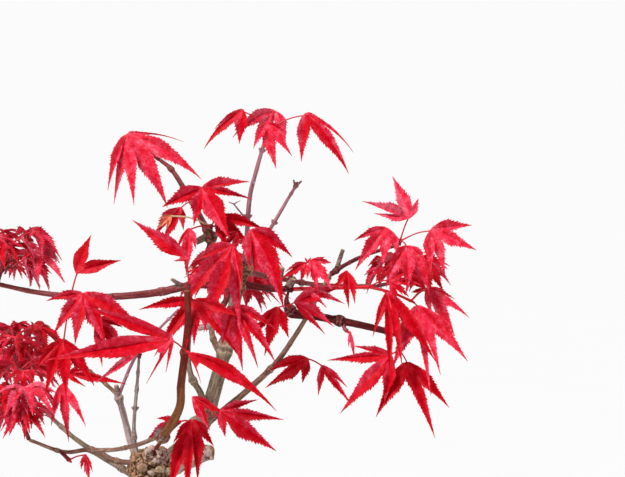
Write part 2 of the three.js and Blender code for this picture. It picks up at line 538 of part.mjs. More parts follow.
// Points of a leaf, a twig or a limb by which the others are kept clear of it.
const samplesOf = (blade) => [blade.base, ...blade.lobes.flatMap((turn) => (
  [0.3, 0.65, 1].map((u) => bladePoint(blade, turn, u))))];
const limbPoints = [...limbs].flatMap(([name, limb]) => (
  curves.get(name).getSpacedPoints(30).map((point) => ({ point, room: limb.r[0] + GROWTH.room }))));
const taken = [...limbPoints];
const take = (points) => taken.push(...points.map((point) => ({ point, room: GROWTH.room })));

// Whether points stay in their mass's space, and clear of the limbs and of all that grew before.
function fits(points, mass) {
  return points.every((point) => {
    const from = seen(point).map((value, axis) => (value - mass.heart[axis]) / mass.reach[axis]);
    return Math.hypot(...from) <= 1 && taken.every((other) => other.point.distanceTo(point) > other.room);
  });
}

// A direction from its heading and its rise above level, in radians.
const direction = (heading, rise) => (
  vec(Math.cos(heading) * Math.cos(rise), Math.sin(heading) * Math.cos(rise), Math.sin(rise)));

// A leaf at the end of a stalk that leaves a twig's tip by a heading; it slopes down and outwards.
function grownLeaf(tip, heading, random) {
  const stalk = direction(heading, rad(GROWTH.stalkRise)).multiplyScalar(between(random, GROWTH.stalk));
  const size = between(random, GROWTH.size);
  const ahead = direction(heading, -rad(between(random, GROWTH.dip)));
  const side = vec(-Math.sin(heading), Math.cos(heading), 0);
  const base = tip.clone().add(stalk);
  return { ...leaf(0, 0, 0, size, FAN, { tilt: 0, width: GROWTH.width, plain: true }), base, ahead, side };
}

// A mass grown by rule: side twigs set round one stem at the golden angle, each with a pair of
// leaves and one between them. A leaf that would not fit is tried again, then skipped.
function grownSolids(mass) {
  const random = seeded(mass.seed);
  const heart = place(mass.heart);
  const root = rootOf(mass, heart);
  const stem = [root, root.clone().lerp(heart, 0.5), heart];
  const solids = [twigSolid(stem, [GROWTH.stemRadius, GROWTH.twigRadius])];
  const shortest = Math.min(...mass.reach);
  for (let k = 0; k < mass.twigs; k++) {
    const last = k === mass.twigs - 1;
    const start = root.clone().lerp(heart, GROWTH.start + ((1 - GROWTH.start) * (k + 1)) / mass.twigs);
    for (let attempt = 0, grown = false; attempt < GROWTH.attempts && !grown; attempt++) {
      const heading = rad(mass.seed + k * GROWTH.golden + (random() - 0.5) * GROWTH.jitter * (attempt + 1));
      const rise = rad(between(random, last ? GROWTH.lastRise : GROWTH.rise));
      const length = shortest * between(random, GROWTH.length);
      const tip = start.clone().addScaledVector(direction(heading, rise), length);
      const leaves = [0, -1, 1].map((turn) => grownLeaf(tip, heading + rad(turn * GROWTH.fork), random))
        .filter((blade) => fits(samplesOf(blade), mass));
      grown = leaves.length > 1 || (leaves.length > 0 && attempt > GROWTH.attempts / 2);
      if (!grown) continue;
      const middle = start.clone().lerp(tip, 0.5).add(vec(0, 0, GROWTH.arch));
      solids.push(twigSolid([start, middle, tip], [GROWTH.twigRadius, GROWTH.twigRadius * GROWTH.taper]));
      solids.push(...leaves.flatMap((blade) => leafSolids(blade, tip)));
      take([middle, tip, ...leaves.flatMap(samplesOf)]);
    }
  }
  return solids;
}

// Pot and soil: turned profiles drawn out along X into an oval. lift raises a corner of the profile
// in one of the sectors.
function ovalSolid(profile, lift = () => 0) {
  const geometry = new THREE.LatheGeometry(profile.map(([r, z]) => new THREE.Vector2(r, z)), POT.sides);
  const position = geometry.attributes.position;
  for (let i = 0; i < position.count; i++) {
    const sector = Math.floor(i / profile.length) % POT.sides;
    position.setY(i, position.getY(i) + lift(i % profile.length, sector));
  }
  geometry.rotateX(Math.PI / 2);
  geometry.scale(POT.length / POT.width, 1, 1);
  return solidOf(geometry);
}

function potSolid() {
  const rim = POT.width / 2;
  const foot = POT.foot / 2;
  const shoulder = POT.height - POT.lipHeight;
  const solid = ovalSolid([
    [0, 0], [foot - 2, 0], [foot, 2], [rim - POT.lip, shoulder - 2], [rim, shoulder + 1],
    [rim, POT.height - 1], [rim - 1, POT.height], [rim - POT.wall - 2, POT.height],
    [innerRadius(POT.floor), POT.floor], [0, POT.floor],
  ]);
  return [-1, 1].reduce((pot, way) => {
    const drain = new THREE.CylinderGeometry(DRAIN.radius, DRAIN.radius, POT.floor * 3, DRAIN.sides);
    drain.rotateX(Math.PI / 2);
    drain.translate(way * DRAIN.offset, 0, POT.floor / 2);
    return pot.subtract(solidOf(drain));
  }, solid);
}

// The radius across the pot's width of its inner wall at a height.
function innerRadius(z) {
  const foot = POT.foot / 2 - POT.wall;
  const rim = POT.width / 2 - POT.wall - 2;
  return foot + ((rim - foot) * (z - POT.floor)) / (POT.height - POT.floor);
}

// A mound that is level round the trunk, with lumps of coarse grains set chequerwise on its slope.
function soilSolid() {
  const { edge, flat, gap, crown, rings } = SOIL;
  const rim = innerRadius(edge) - gap;
  const slope = Array.from({ length: rings - 1 }, (_, ring) => {
    const share = (ring + 1) / rings;
    const height = edge + (GROUND - edge) * share + crown * Math.min(1, 2 * share, 2 - 2 * share);
    return [rim + (flat - rim) * share, height];
  });
  const below = [[0, POT.floor + GAP], [innerRadius(POT.floor) - gap, POT.floor + GAP], [rim, edge]];
  const random = seeded(SOIL.seed);
  const lumps = slope.map((_, ring) => Array.from({ length: POT.sides }, (__, sector) => (
    ((ring + sector) % 2 ? -1 : 1) * between(random, SOIL.lump))));
  return ovalSolid([...below, ...slope, [flat, GROUND], [0, GROUND]], (corner, sector) => (
    lumps[corner - below.length]?.[sector] ?? 0));
}

// Every piece as a named mesh.
const tree = new THREE.Group();
tree.name = "japanese_maple";
function show(name, solid, colour, roughness) {
  const material = new THREE.MeshStandardMaterial({ color: colour, roughness, metalness: 0 });
  const mesh = new THREE.Mesh(geometryOf(solid), material);
  mesh.name = name;
  tree.add(mesh);
}

const grown = new Map(BOUGHS.map((bough) => [bough.name, limbSolid(bough, GAP)]));
grown.set(TRUNK.name, trunkSolid(GAP));
const join = (solids) => solids.reduce((whole, solid) => whole.add(solid));

show("pot", potSolid(), COLOURS.pot, 0.7);
show("soil", soilSolid(), COLOURS.soil, 0.95);
show(TRUNK.name, trunkSolid(), COLOURS.bark, 0.85);
for (const bough of BOUGHS) {
  const clear = limbSolid(bough).subtract(grown.get(bough.on));
  show(bough.name, largest(clear), bough.r[0] > 2 ? COLOURS.bark : COLOURS.shoot, 0.7);
}
for (const mass of SPRAYS) {
  show(mass.name, largest(join(spraySolids(mass)).subtract(grown.get(mass.on))), COLOURS.leaf, 0.55);
}
for (const mass of GROWN) {
  show(mass.name, largest(join(grownSolids(mass)).subtract(grown.get(mass.on))), COLOURS.leaf, 0.55);
}

export default tree;
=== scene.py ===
"""The looks of a small Japanese maple grown in a tray pot, with its red spring leaves.

Lengths in the tables are millimetres in the part's frame, +Z up, with the viewer on the -Y side.
Meshes are made in metres.
"""

import logging
import math
from collections.abc import Iterable, Sequence
from dataclasses import dataclass, field
from enum import Enum

import bpy
import numpy as np
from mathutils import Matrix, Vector, noise

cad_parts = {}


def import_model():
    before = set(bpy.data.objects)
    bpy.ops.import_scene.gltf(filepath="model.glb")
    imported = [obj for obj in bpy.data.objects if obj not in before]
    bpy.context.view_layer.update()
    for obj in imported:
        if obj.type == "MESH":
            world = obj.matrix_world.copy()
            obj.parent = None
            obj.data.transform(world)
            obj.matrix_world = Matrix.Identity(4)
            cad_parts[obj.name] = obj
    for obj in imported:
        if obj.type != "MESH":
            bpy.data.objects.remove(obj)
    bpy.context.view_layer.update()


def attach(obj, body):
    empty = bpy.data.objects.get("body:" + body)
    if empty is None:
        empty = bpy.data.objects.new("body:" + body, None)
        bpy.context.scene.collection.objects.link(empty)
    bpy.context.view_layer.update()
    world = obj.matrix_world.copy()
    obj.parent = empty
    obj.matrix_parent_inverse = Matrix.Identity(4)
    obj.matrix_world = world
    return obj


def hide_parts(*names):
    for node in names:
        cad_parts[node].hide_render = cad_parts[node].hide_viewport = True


LOG = logging.getLogger("maple")
MM = 0.001
GROUND = 56.0  # height of the soil under the trunk
GAP = 0.3  # clearance between neighbouring solids, as of a stem and the limb's tip that it starts from
UP = Vector((0.0, 0.0, 1.0))


class Tint(Enum):
    """The colours that the leaves come in."""

    CRIMSON = 0
    SCARLET = 1
    DARK = 2
    ROSE = 3
    APRICOT = 4


class Wood(Enum):
    """The kinds of bark on the tree, from the old trunk to this year's shoots."""

    TRUNK = "trunk"
    OLD = "old"
    GREY = "grey"
    BROWN = "brown"
    PURPLE = "purple"
    LILAC = "lilac"
    PALE = "pale"
    RUSSET = "russet"
    DARK = "dark"


@dataclass(frozen=True)
class View:
    """The point that the tree is laid out around, and how far in front of it the viewer stands.

    A place is given by its x and z as seen on the plane of the trunk, and its depth behind it.
    """

    x: float = 63.75
    z: float = 260.75
    distance: float = 800.0

    def place(self, spot: Sequence[float]) -> Vector:
        """Carries a spot along the line of sight to its depth.

        Args:
            spot: x, z and depth in millimetres.

        Returns:
            The point in the part's frame.
        """
        x, z, depth = spot
        share = 1 + depth / self.distance
        return Vector((self.x + (x - self.x) * share, depth, self.z + (z - self.z) * share))

    def seen(self, point: Vector) -> tuple[float, float, float]:
        """Gives where the viewer sees a point, as x, z and depth."""
        share = 1 + point.y / self.distance
        return (self.x + (point.x - self.x) / share, self.z + (point.z - self.z) / share, point.y)


VIEW = View()


@dataclass(frozen=True)
class Stub:
    """A pruned shoot, from a share of its limb's length to a cut end, where it may fork."""

    at: float
    end: Sequence[float]
    r: Sequence[float]
    forks: Sequence[Sequence[float]] = ()


@dataclass(frozen=True)
class Limb:
    """The trunk or a bough: its path, its radius at foot and tip, its knobs and its stubs."""

    name: str
    on: str
    r: Sequence[float]
    knobs: Sequence[Sequence[float]]
    path: Sequence[Sequence[float]]
    stubs: Sequence[Stub] = ()


@dataclass(frozen=True)
class LimbLook:
    """How a limb looks: its bark, its ringed nodes and how slim it is.

    slim is its thickness as a share of its solid's, rings are the shares of its length with ringed
    nodes, neck is how thin it is where it leaves what it grows on, and gnarled says whether its
    large knobs are crowded with lumps.
    """

    wood: Wood
    slim: float = 1.0
    rings: Sequence[float] = ()
    neck: float = 1.0
    gnarled: bool = True


@dataclass(frozen=True)
class Leaf:
    """A listed leaf, facing the viewer, with corrections that a program fitted.

    lobes are the ways that its lobes set out, in degrees from the right, counterclockwise. The
    lobe nearest to longest is as long as size, and the furthest from it is shorter by fall. Those
    are as its solid's. Four fields weren't chosen by hand: they were fitted to the leaf's outline in
    the photo. From the lowest angle on, turns, longs and slims turn each lobe and make it longer and
    broader, and shift moves the leaf. Left out, they change nothing. teeth says how deeply its edge
    is cut. An added leaf has no solid.
    """

    x: float
    z: float
    depth: float
    size: float
    lobes: Sequence[float]
    longest: float | None = None
    fall: float = 0.3
    droop: float = 0.2
    width: float = 0.17
    tilt: float = 28.0
    tint: Tint | None = None
    teeth: float = 1.0
    shift: Sequence[float] = (0.0, 0.0)
    turns: Sequence[float] = ()
    longs: Sequence[float] = ()
    slims: Sequence[float] = ()
    added: bool = False


@dataclass(frozen=True)
class Twig:
    """A twig's path and the leaves on its tip."""

    path: Sequence[Sequence[float]]
    leaves: Sequence[Leaf]


@dataclass(frozen=True)
class Spray:
    """A foliage mass laid out as listed, on a limb at a share of its length."""

    name: str
    on: str
    at: float
    twigs: Sequence[Twig]


@dataclass(frozen=True)
class GrownMass:
    """A foliage mass grown by rule inside its own space of a heart and half sizes round it."""

    name: str
    on: str
    at: float
    heart: Sequence[float]
    reach: Sequence[float]
    twigs: int
    seed: int


TRUNK = Limb(name="trunk", on="soil", r=[14.5, 8.6], knobs=[[0.99, 8.2], [0.93, 10.3]],
    path=[[3, 48, 0], [3, 60, 0], [1, 78, 1], [-5, 100, 2], [-12, 122, 1], [-16.5, 142, 0], [-18, 155, 0]], stubs=[
    Stub(at=0.88, end=[10.5, 154, -3], r=[5.4, 4.2]),
    Stub(at=0.95, end=[-21.5, 146.8, -12], r=[4, 2.9]),
    Stub(at=0.97, end=[-15, 153.5, -5], r=[4.6, 3.4]),
    Stub(at=0.9, end=[-29, 144.5, -2], r=[2.2, 1.3]),
])
BOUGHS: tuple[Limb, ...] = (
    Limb(name="leader", on="trunk", r=[5.6, 3.5], knobs=[[0.9, 4.6], [0.985, 4.9]],
        path=[[-13, 146, 0], [0, 158, 2], [10, 170, 3], [14, 183, 3], [19.5, 203.5, 1], [24, 225, 0], [27, 238, 0],
            [30.5, 248, 0]], stubs=[
        Stub(at=0.3, end=[3, 168, -4], r=[3.4, 2.9]),
    ]),
    Limb(name="whip", on="leader", r=[1.7, 1.15], knobs=[[0.12, 2.1]],
        path=[[30, 245, 0], [31, 262, 0], [32.5, 282, 0], [36, 296, -1], [40.5, 311.5, -2]], stubs=[
        Stub(at=0.36, end=[24.4, 278, -3], r=[0.5, 0.42], forks=[[21.8, 279, -4], [27.6, 279.7, -2]]),
    ]),
    Limb(name="bare_twig", on="leader", r=[1.4, 0.95], knobs=[[0.96, 1.6]],
        path=[[31, 246, 2], [43.5, 267, 4], [56.5, 289, 6]], stubs=[
        Stub(at=0.95, end=[54.2, 290.2, 5], r=[0.8, 0.5]),
        Stub(at=0.95, end=[58.4, 289.6, 4], r=[0.8, 0.5]),
    ]),
    Limb(name="right_bough", on="leader", r=[3.1, 2.5], knobs=[[0.96, 3.2]],
        path=[[29, 238, 0], [36, 236.5, 0], [45, 235.5, -1], [54, 235.5, -2]], stubs=[
        Stub(at=0.9, end=[54.2, 241.2, -5], r=[2.2, 1.9]),
        Stub(at=0.72, end=[48.4, 246.4, -3], r=[1.2, 1.6]),
    ]),
    Limb(name="outer_right_bough", on="right_bough", r=[2.6, 1.8], knobs=[[0.17, 3.2], [0.55, 3]],
        path=[[52, 235, -2], [50.8, 229, -2], [54, 223.6, -2], [65, 222, -3], [78, 219.5, -4], [92.5, 216.5, -5],
            [106, 213, -5]]),
    Limb(name="diagonal_bough", on="leader", r=[2.5, 1.3], knobs=[[0.42, 2.3], [0.97, 2.2]],
        path=[[10, 168, 3], [19.5, 175, 7], [32.5, 186, 11], [45, 198, 14], [57.5, 216, 16], [66, 231, 16],
            [73, 243.5, 14]]),
    Limb(name="upper_right_bough", on="diagonal_bough", r=[1.5, 1], knobs=[[0.08, 2]],
        path=[[73, 243, 14], [80, 247.5, 12], [88, 251.5, 10], [98, 255, 7], [107, 257.5, 4]], stubs=[
        Stub(at=0.08, end=[79, 255.3, 13], r=[1.3, 1]),
    ]),
    Limb(name="left_bough", on="leader", r=[3, 1.4], knobs=[[0.3, 3]],
        path=[[25, 236.5, 0], [12, 238, -3], [1.5, 237, -5], [-12.5, 234, -8], [-30, 232, -10], [-52, 231.5, -10],
            [-75, 234, -6], [-94, 238, 2]], stubs=[
        Stub(at=0.21, end=[-7, 240.5, -10], r=[1.5, 0.7]),
    ]),
    Limb(name="upper_left_bough", on="left_bough", r=[2.4, 1.1], knobs=[[0.34, 3.6], [0.4, 2.8], [0.9, 1.6]],
        path=[[12, 237.5, -3], [10.5, 249, -1], [13, 260, 1], [8, 270.5, 3], [-1, 286.5, 5], [-7.5, 296, 6],
            [-12.5, 300, 6]], stubs=[
        Stub(at=0.36, end=[5.5, 259, -3], r=[2, 1.6]),
        Stub(at=0.36, end=[19, 263, -3], r=[1.7, 1.2]),
    ]),
    Limb(name="low_left_bough", on="trunk", r=[2.3, 1.3], knobs=[[0.47, 2.6]],
        path=[[-19, 149, -1], [-34, 149.5, -4], [-46, 155, -8], [-60, 154, -10], [-78, 160, -6]]),
    Limb(name="front_arm", on="low_left_bough", r=[1.8, 1.7], knobs=[],
        path=[[-46, 155, -8], [-35, 155.2, -27], [-22.5, 158, -47], [-12.5, 162, -62]]),
    Limb(name="front_bough", on="front_arm", r=[2.1, 1.4], knobs=[[0.02, 3.6], [0.62, 2.4]],
        path=[[-12, 161.5, -61], [-8, 166, -67], [-2.5, 177, -70], [-2, 187.5, -73], [0, 204, -75], [1.5, 220, -75],
            [1, 235, -75]]),
    Limb(name="left_bough_low", on="trunk", r=[2.4, 1.8], knobs=[[0.95, 2.6]],
        path=[[-22, 147, 2], [-26.5, 157, 3], [-29.5, 168, 3], [-33.5, 183, 3]], stubs=[
        Stub(at=0.95, end=[-34.5, 187.5, 1], r=[1.5, 1.2]),
    ]),
    Limb(name="left_twig_outer", on="left_bough_low", r=[1.2, 0.85], knobs=[[0.9, 1.3]],
        path=[[-33.5, 182.5, 3], [-42, 190, 3], [-49, 195.5, 2]]),
    Limb(name="left_twig_inner", on="left_bough_low", r=[1.2, 0.8], knobs=[],
        path=[[-33, 183, 3], [-25, 201, 4], [-19, 208, 5], [-12.5, 216, 7], [-3, 225.5, 10]]),
    Limb(name="thin_bough", on="trunk", r=[1.5, 0.9], knobs=[[0.26, 1.9], [0.7, 1.5], [0.86, 1.4]],
        path=[[-22, 148, -5], [-25, 158, -6], [-25.5, 167, -6], [-24, 187, -5], [-23, 201, -4]]),
    Limb(name="side_bough", on="leader", r=[2.3, 1.5], knobs=[[0.5, 2.6]],
        path=[[11, 172, 2], [8, 183, -3], [3.5, 191, -7], [1.5, 201, -10], [2, 211, -12]]),
    Limb(name="short_spur", on="leader", r=[1.7, 1.4], knobs=[[0.72, 1.9], [0.95, 1.8]],
        path=[[22, 219, 0], [14, 217.5, -4], [6.5, 216, -7]]),
    Limb(name="left_front_bough", on="left_bough", r=[1.5, 1], knobs=[[0.5, 1.5]],
        path=[[-36, 232, -10], [-46, 230, -26], [-54, 229, -42], [-58, 230, -54]]),
    Limb(name="back_left_bough", on="trunk", r=[3.4, 1.6], knobs=[[0.55, 3]],
        path=[[-15, 136, 2], [-32, 146, 24], [-54, 160, 46], [-74, 178, 60]]),
    Limb(name="back_bough", on="leader", r=[2.6, 1.3], knobs=[[0.5, 2.4]],
        path=[[18.5, 202, 2], [14, 211, 22], [14, 221, 46], [20, 230, 66]]),
    Limb(name="back_right_bough", on="leader", r=[1.9, 1.2], knobs=[[0.5, 2.1]],
        path=[[29.5, 244.5, 0], [38, 242.5, 15], [68, 237.5, 33], [96, 237, 42]]),
)

SPRAYS: tuple[Spray, ...] = (
    Spray(name="foliage_top_left", on="upper_left_bough", at=1, twigs=[
        Twig(path=[[-12.5, 300, 6], [-18, 303.5, 3], [-22, 306, 0]], leaves=[
            Leaf(-29.5, 313.5, -5, 45, [2, -16, -46, -80, -100, -122], longest=-46, width=0.09, droop=0.26,
                shift=(0.5, -0.5), turns=(10, -2, 2, -4, 0, 6), longs=(0.98, 0.99, 0.9, 0.95, 1.1, 0.82),
                slims=(1.2, 1.2, 1.3, 1.5, 1.5, 0.2)),
        ]),
    ]),
    Spray(name="foliage_upper_left", on="upper_left_bough", at=0.62, twigs=[
        Twig(path=[[2, 280, 4], [3.5, 279, -3], [4, 280, -8]], leaves=[
            Leaf(9, 286, -11, 24, [12, -12, -50, -105, -160], longest=-14, droop=0.1, shift=(-0.5, 0.5),
                turns=(2, 3, -7, 4, 0), longs=(1.35, 0.89, 1.35, 1.1, 1.02), slims=(1.3, 1.3, 1.3, 0.6, 1.1)),
            Leaf(-2, 276.5, -9, 17.5, [-82, -122, -152], turns=(13, 0, 3), longs=(1.35, 1.24, 0.99),
                slims=(1.3, 1, 1.1)),
        ]),
    ]),
    Spray(name="foliage_knob", on="upper_left_bough", at=0.42, twigs=[
        Twig(path=[[10.5, 266, 2], [13, 266, -5], [13, 267, -10]], leaves=[
            Leaf(14.5, 272.5, -12, 20, [-3, -24, -62], longest=-8, shift=(1.3, -1.1), turns=(-4, -6, 0),
                longs=(1.29, 1.22, 1.35), slims=(1.1, 1, 0.9)),
            Leaf(25, 266, -15, 12, [-105, -142, -172], shift=(1.4, -1.9), turns=(0, 0, 4), longs=(0.99, 1.04, 1.34),
                slims=(1, 1, 1.3)),
            Leaf(2.5, 265.5, -16, 17, [-58, -90, -128], shift=(-0.3, 0.5), turns=(2, -3, -7),
                longs=(1.19, 1.34, 0.86), slims=(0.5, 1, 1.3)),
            Leaf(-5, 272, -20, 10, [-110, -145, -178], tint=Tint.APRICOT, shift=(-1.7, 0.2), turns=(0, -2, -3)),
        ]),
    ]),
    Spray(name="foliage_top", on="whip", at=1, twigs=[
        Twig(path=[[40.5, 311.5, -2], [41, 313.5, -2], [42, 315.5, -3]], leaves=[
            Leaf(28.5, 326, 0, 29.5, [-100, -142, -160], longest=-142, droop=0.3, shift=(0.6, -0.7),
                turns=(-2, -8, 2), longs=(0.65, 0.97, 0.88), slims=(0.4, 0.8, 1.3)),
            Leaf(45.5, 325, 4, 26, [-60, -140, -172], longest=-165, droop=0.4, shift=(0, -0.6), turns=(0, 1, -2),
                longs=(1, 0.87, 0.99), slims=(1, 1, 1.1)),
            Leaf(40, 319, -10, 26, [-24, -52, -79, -115], longest=-75, droop=0.1, shift=(0.5, 0), turns=(-2, 3, 3, 0),
                longs=(0.73, 0.9, 0.96, 0.66), slims=(1.1, 1.2, 1, 1)),
            Leaf(60.5, 323.5, -5, 34, [-28, -44, -100], longest=-35, droop=0.3, width=0.11, shift=(-0.3, -0.1),
                turns=(3, 3, 5), longs=(1.07, 1.11, 0.97), slims=(1.3, 1.3, 0.3)),
        ]),
    ]),
    Spray(name="foliage_centre", on="whip", at=0.24, twigs=[
        Twig(path=[[31, 261, 0], [30, 260, -12], [28, 259, -22]], leaves=[
            Leaf(23, 257.5, -28, 35, [-70, -89, -111, -141, -168], longest=-108, shift=(0.9, 0.3),
                turns=(1, 4, -1, 7, -3), longs=(0.93, 1.35, 1.33, 1.25, 0.78), slims=(1.2, 0.8, 0.8, 1, 0.7)),
            Leaf(33, 265, -28, 37, [4, -42, -70, -98], longest=-42, fall=0.35, droop=0.36, shift=(-0.5, 0.1),
                turns=(9, -10, -10, -16), longs=(0.87, 0.78, 1.21, 0.81), slims=(1.3, 1, 1, 1.3)),
        ]),
    ]),
    Spray(name="foliage_right_node", on="right_bough", at=0.93, twigs=[
        Twig(path=[[52.5, 236, -2], [53, 243, -6], [57, 246, -9]], leaves=[
            Leaf(61.5, 249, -11, 14.5, [-122, -148, -172], shift=(-0.9, -0.2), turns=(5, -9, 12),
                longs=(0.92, 1.13, 0.98), slims=(1.1, 1.3, 1.3)),
            Leaf(62.5, 249, -13, 14, [2, -38, -74, -104], shift=(0.4, 1.1), turns=(-1, 0, -8, 1),
                longs=(1.01, 1.2, 1.35, 1.1), slims=(1, 1, 1.2, 1.3)),
            Leaf(60, 250, -5, 5, [60, 110], shift=(1.2, -1.4)),
        ]),
    ]),
    Spray(name="foliage_red_shoot", on="right_bough", at=1, twigs=[
        Twig(path=[[54.3, 235.6, -2], [72.5, 236, -6], [92, 236.5, -8]], leaves=[
            Leaf(104, 240, -18, 12, [32, 4, -26, -70], longest=25, shift=(-1.7, -0.3), turns=(2, -4, 0, 7),
                longs=(1.34, 1.18, 1.35, 1.23), slims=(1.2, 1.1, 1, 1.2)),
            Leaf(101.5, 231.5, -20, 34, [-62, -77, -90, -114], longest=-76, width=0.08, droop=0.1, shift=(-0.1, 2.5),
                turns=(1, 1, -2, 10), longs=(1.02, 1.35, 1.12, 1.35), slims=(1.2, 0.7, 1.1, 1.3)),
        ]),
        Twig(path=[[92, 236.5, -8], [104, 233.5, -10], [113, 229.5, -12]], leaves=[
            Leaf(116, 228.5, -14, 36, [-44, -68, -84, -118], longest=-60, droop=0.1, width=0.12, shift=(0.2, -1.1),
                turns=(1, 2, -3, 0), longs=(1.35, 1.24, 1.02, 1.03), slims=(1.3, 0.4, 0.9, 1.3)),
            Leaf(121.5, 235, -2, 21.5, [-4, -28, -52, -80], longest=-30, shift=(-0.8, 1.2), turns=(-2, -1, 4, -7),
                longs=(1, 1.35, 1.25, 0.76), slims=(0.9, 1, 1, 0.9)),
            Leaf(121, 236, 2, 11, [140, 162], width=0.2, shift=(-0.3, -0.9), turns=(-3, 16), longs=(1.35, 1.03),
                slims=(1.3, 1.2)),
        ]),
        Twig(path=[[54.3, 235.6, -2], [56, 235.6, -6], [58, 236, -9]], leaves=[
            Leaf(59, 235.5, -11, 18, [-4, -18, -32], width=0.1, droop=0.1, shift=(1.8, 0.1), turns=(-6, 2, 13),
                longs=(0.96, 1.16, 1.35), slims=(1, 1.1, 0.9)),
        ]),
        Twig(path=[[73, 236, -6], [76, 238, -10]], leaves=[
            Leaf(81, 244.5, -14, 19, [-68, -88, -124], longest=-86, fall=0.5, droop=0.1, shift=(-0.1, 0.3),
                turns=(0, 1, -7), longs=(1.2, 0.95, 0.97), slims=(1.3, 1, 1.2)),
        ]),
    ]),
    Spray(name="foliage_lower_node", on="outer_right_bough", at=0.19, twigs=[
        Twig(path=[[52, 225.5, -2], [52, 226, -6], [52, 227, -9]], leaves=[
            Leaf(55.5, 228.5, -12, 24, [6, -30, -50], longest=-30, droop=0.1, shift=(-0.9, 0.8), turns=(9, 3, 16),
                longs=(0.98, 0.99, 1.35), slims=(0.7, 1.3, 1.3)),
            Leaf(47.5, 225.5, -14, 24, [-64, -90, -118], longest=-112, droop=0.1, shift=(-1.4, 1.2),
                turns=(-16, -16, -2), longs=(0.89, 1, 1.01), slims=(1, 1.1, 1.2)),
        ]),
    ]),
    Spray(name="foliage_under_right", on="outer_right_bough", at=0.6, twigs=[
        Twig(path=[[78, 219.5, -4], [79.5, 216, -6], [81, 214.5, -7]], leaves=[
            Leaf(82, 213, -8, 12, [-72, -98], width=0.1, shift=(0.5, 1.4), turns=(0, -7), longs=(0.95, 1.15),
                slims=(1, 0.9)),
        ]),
    ]),
    Spray(name="foliage_right_low", on="outer_right_bough", at=1, twigs=[
        Twig(path=[[106.3, 213, -5], [107, 209, -9], [107.5, 204.5, -13]], leaves=[
            Leaf(102, 202, -18, 31.5, [-104, -132, -178, -196], longest=-145, droop=0.06, width=0.13,
                shift=(1.2, 0.7), turns=(0, 0, -4, 4), longs=(0.9, 1.19, 1.28, 0.94), slims=(1.1, 1, 1, 1.3)),
            Leaf(110, 197.5, -14, 37, [-43, -67, -128], longest=-58, droop=0.12, width=0.12, shift=(0.7, 1.5),
                turns=(2, 0, 2), longs=(1.23, 1.03, 0.86), slims=(1.3, 0.7, 1.2)),
        ]),
    ]),
    Spray(name="foliage_right_top", on="upper_right_bough", at=1, twigs=[
        Twig(path=[[107.2, 257.5, 4], [107.5, 259.5, 2]], leaves=[
            Leaf(112, 270, 0, 25.5, [68, 111, 160, 180], longest=135, droop=0.02, shift=(0.9, 1.2),
                turns=(0, 0, 0, -8), longs=(0.57, 1, 1.04, 0.8), slims=(1.3, 1, 1.2, 1.2)),
            Leaf(100.5, 265, -8, 22.5, [-60, -97, -127, -158], longest=-130, shift=(0.2, 1.2), turns=(-12, -8, -2, 2),
                longs=(0.9, 1.18, 0.91, 1.03), slims=(0.9, 1, 1.2, 1)),
            Leaf(123, 265.5, -2, 24.5, [8, -20, -72, -94], longest=-48, droop=0.08, turns=(1, -1, -1, 2),
                longs=(1.1, 1, 1.11, 1.26), slims=(1.3, 1.1, 1.3, 1.3)),
            Leaf(111.5, 257.5, -12, 22, [-22, -54, -90, -130, -158], droop=0.4, shift=(-0.3, -0.4),
                turns=(3, -5, -2, 4, -6), longs=(0.95, 1.25, 1.03, 1.35, 1.01), slims=(1, 1.2, 1.1, 1, 1.2)),
        ]),
    ]),
    Spray(name="foliage_diagonal", on="diagonal_bough", at=0.44, twigs=[
        Twig(path=[[46, 199, 14], [52, 201, 9], [58, 201.5, 6]], leaves=[
            Leaf(62, 200, 4, 23.5, [-122, -148, -170], droop=0.12, shift=(-0.4, 0.9), turns=(0, -4, 16),
                longs=(1.03, 1.11, 0.77), slims=(1.3, 1.3, 1.3)),
            Leaf(68.5, 197, 3, 22, [-36, -54, -98], longest=-52, width=0.1, droop=0.08, shift=(0.1, 0.4),
                turns=(-1, 4, 0), longs=(0.99, 1.09, 0.8), slims=(1.3, 1, 1.2)),
        ]),
    ]),
    Spray(name="foliage_leader", on="leader", at=0.8, twigs=[
        Twig(path=[[23.5, 221, 0], [23, 224, -12], [22, 226, -24]], leaves=[
            Leaf(21.5, 227, -32, 36, [-12, -44, -64, -80, -112], longest=-70, droop=0.2, shift=(2.5, 0.3),
                turns=(3, 2, 4, 0, -5), longs=(0.7, 0.88, 0.97, 1.07, 1), slims=(1.2, 1, 1, 1, 0.9)),
        ]),
    ]),
    Spray(name="foliage_leader_foot", on="leader", at=0.33, twigs=[
        Twig(path=[[10, 170, 3], [13, 171, -12], [16, 172, -26]], leaves=[
            Leaf(18.5, 174.5, -34, 38, [28, -6, -32, -82], longest=-22, fall=0.62, droop=0.06, shift=(-0.8, 0.3),
                turns=(6, 0, 2, -10), longs=(0.92, 0.91, 0.93, 0.79), slims=(1.2, 1.2, 1, 1)),
            Leaf(2.5, 182, -22, 17, [-8, -28, -52], shift=(1, -0.5), turns=(1, 11, 7), longs=(1.35, 1.34, 0.83),
                slims=(1, 0.9, 0.8)),
        ]),
    ]),
    Spray(name="foliage_head", on="trunk", at=0.97, twigs=[
        Twig(path=[[-17, 152, -4], [-9, 163, -26], [-3, 169, -42]], leaves=[
            Leaf(3.5, 170, -52, 30, [-48, -74, -94, -112, -132], shift=(0.2, 0.3), turns=(-7, 1, 2, -8, 9),
                longs=(0.69, 1.35, 1.35, 0.98, 0.84), slims=(1, 1, 0.9, 1.2, 1.3)),
            Leaf(-5, 170, -50, 17, [-126, -150, -195], longest=-148, shift=(0.4, 0.2), turns=(0, -3, -15),
                longs=(0.81, 1.17, 0.57), slims=(1.2, 1, 1)),
        ]),
    ]),
    Spray(name="foliage_front", on="front_bough", at=1, twigs=[
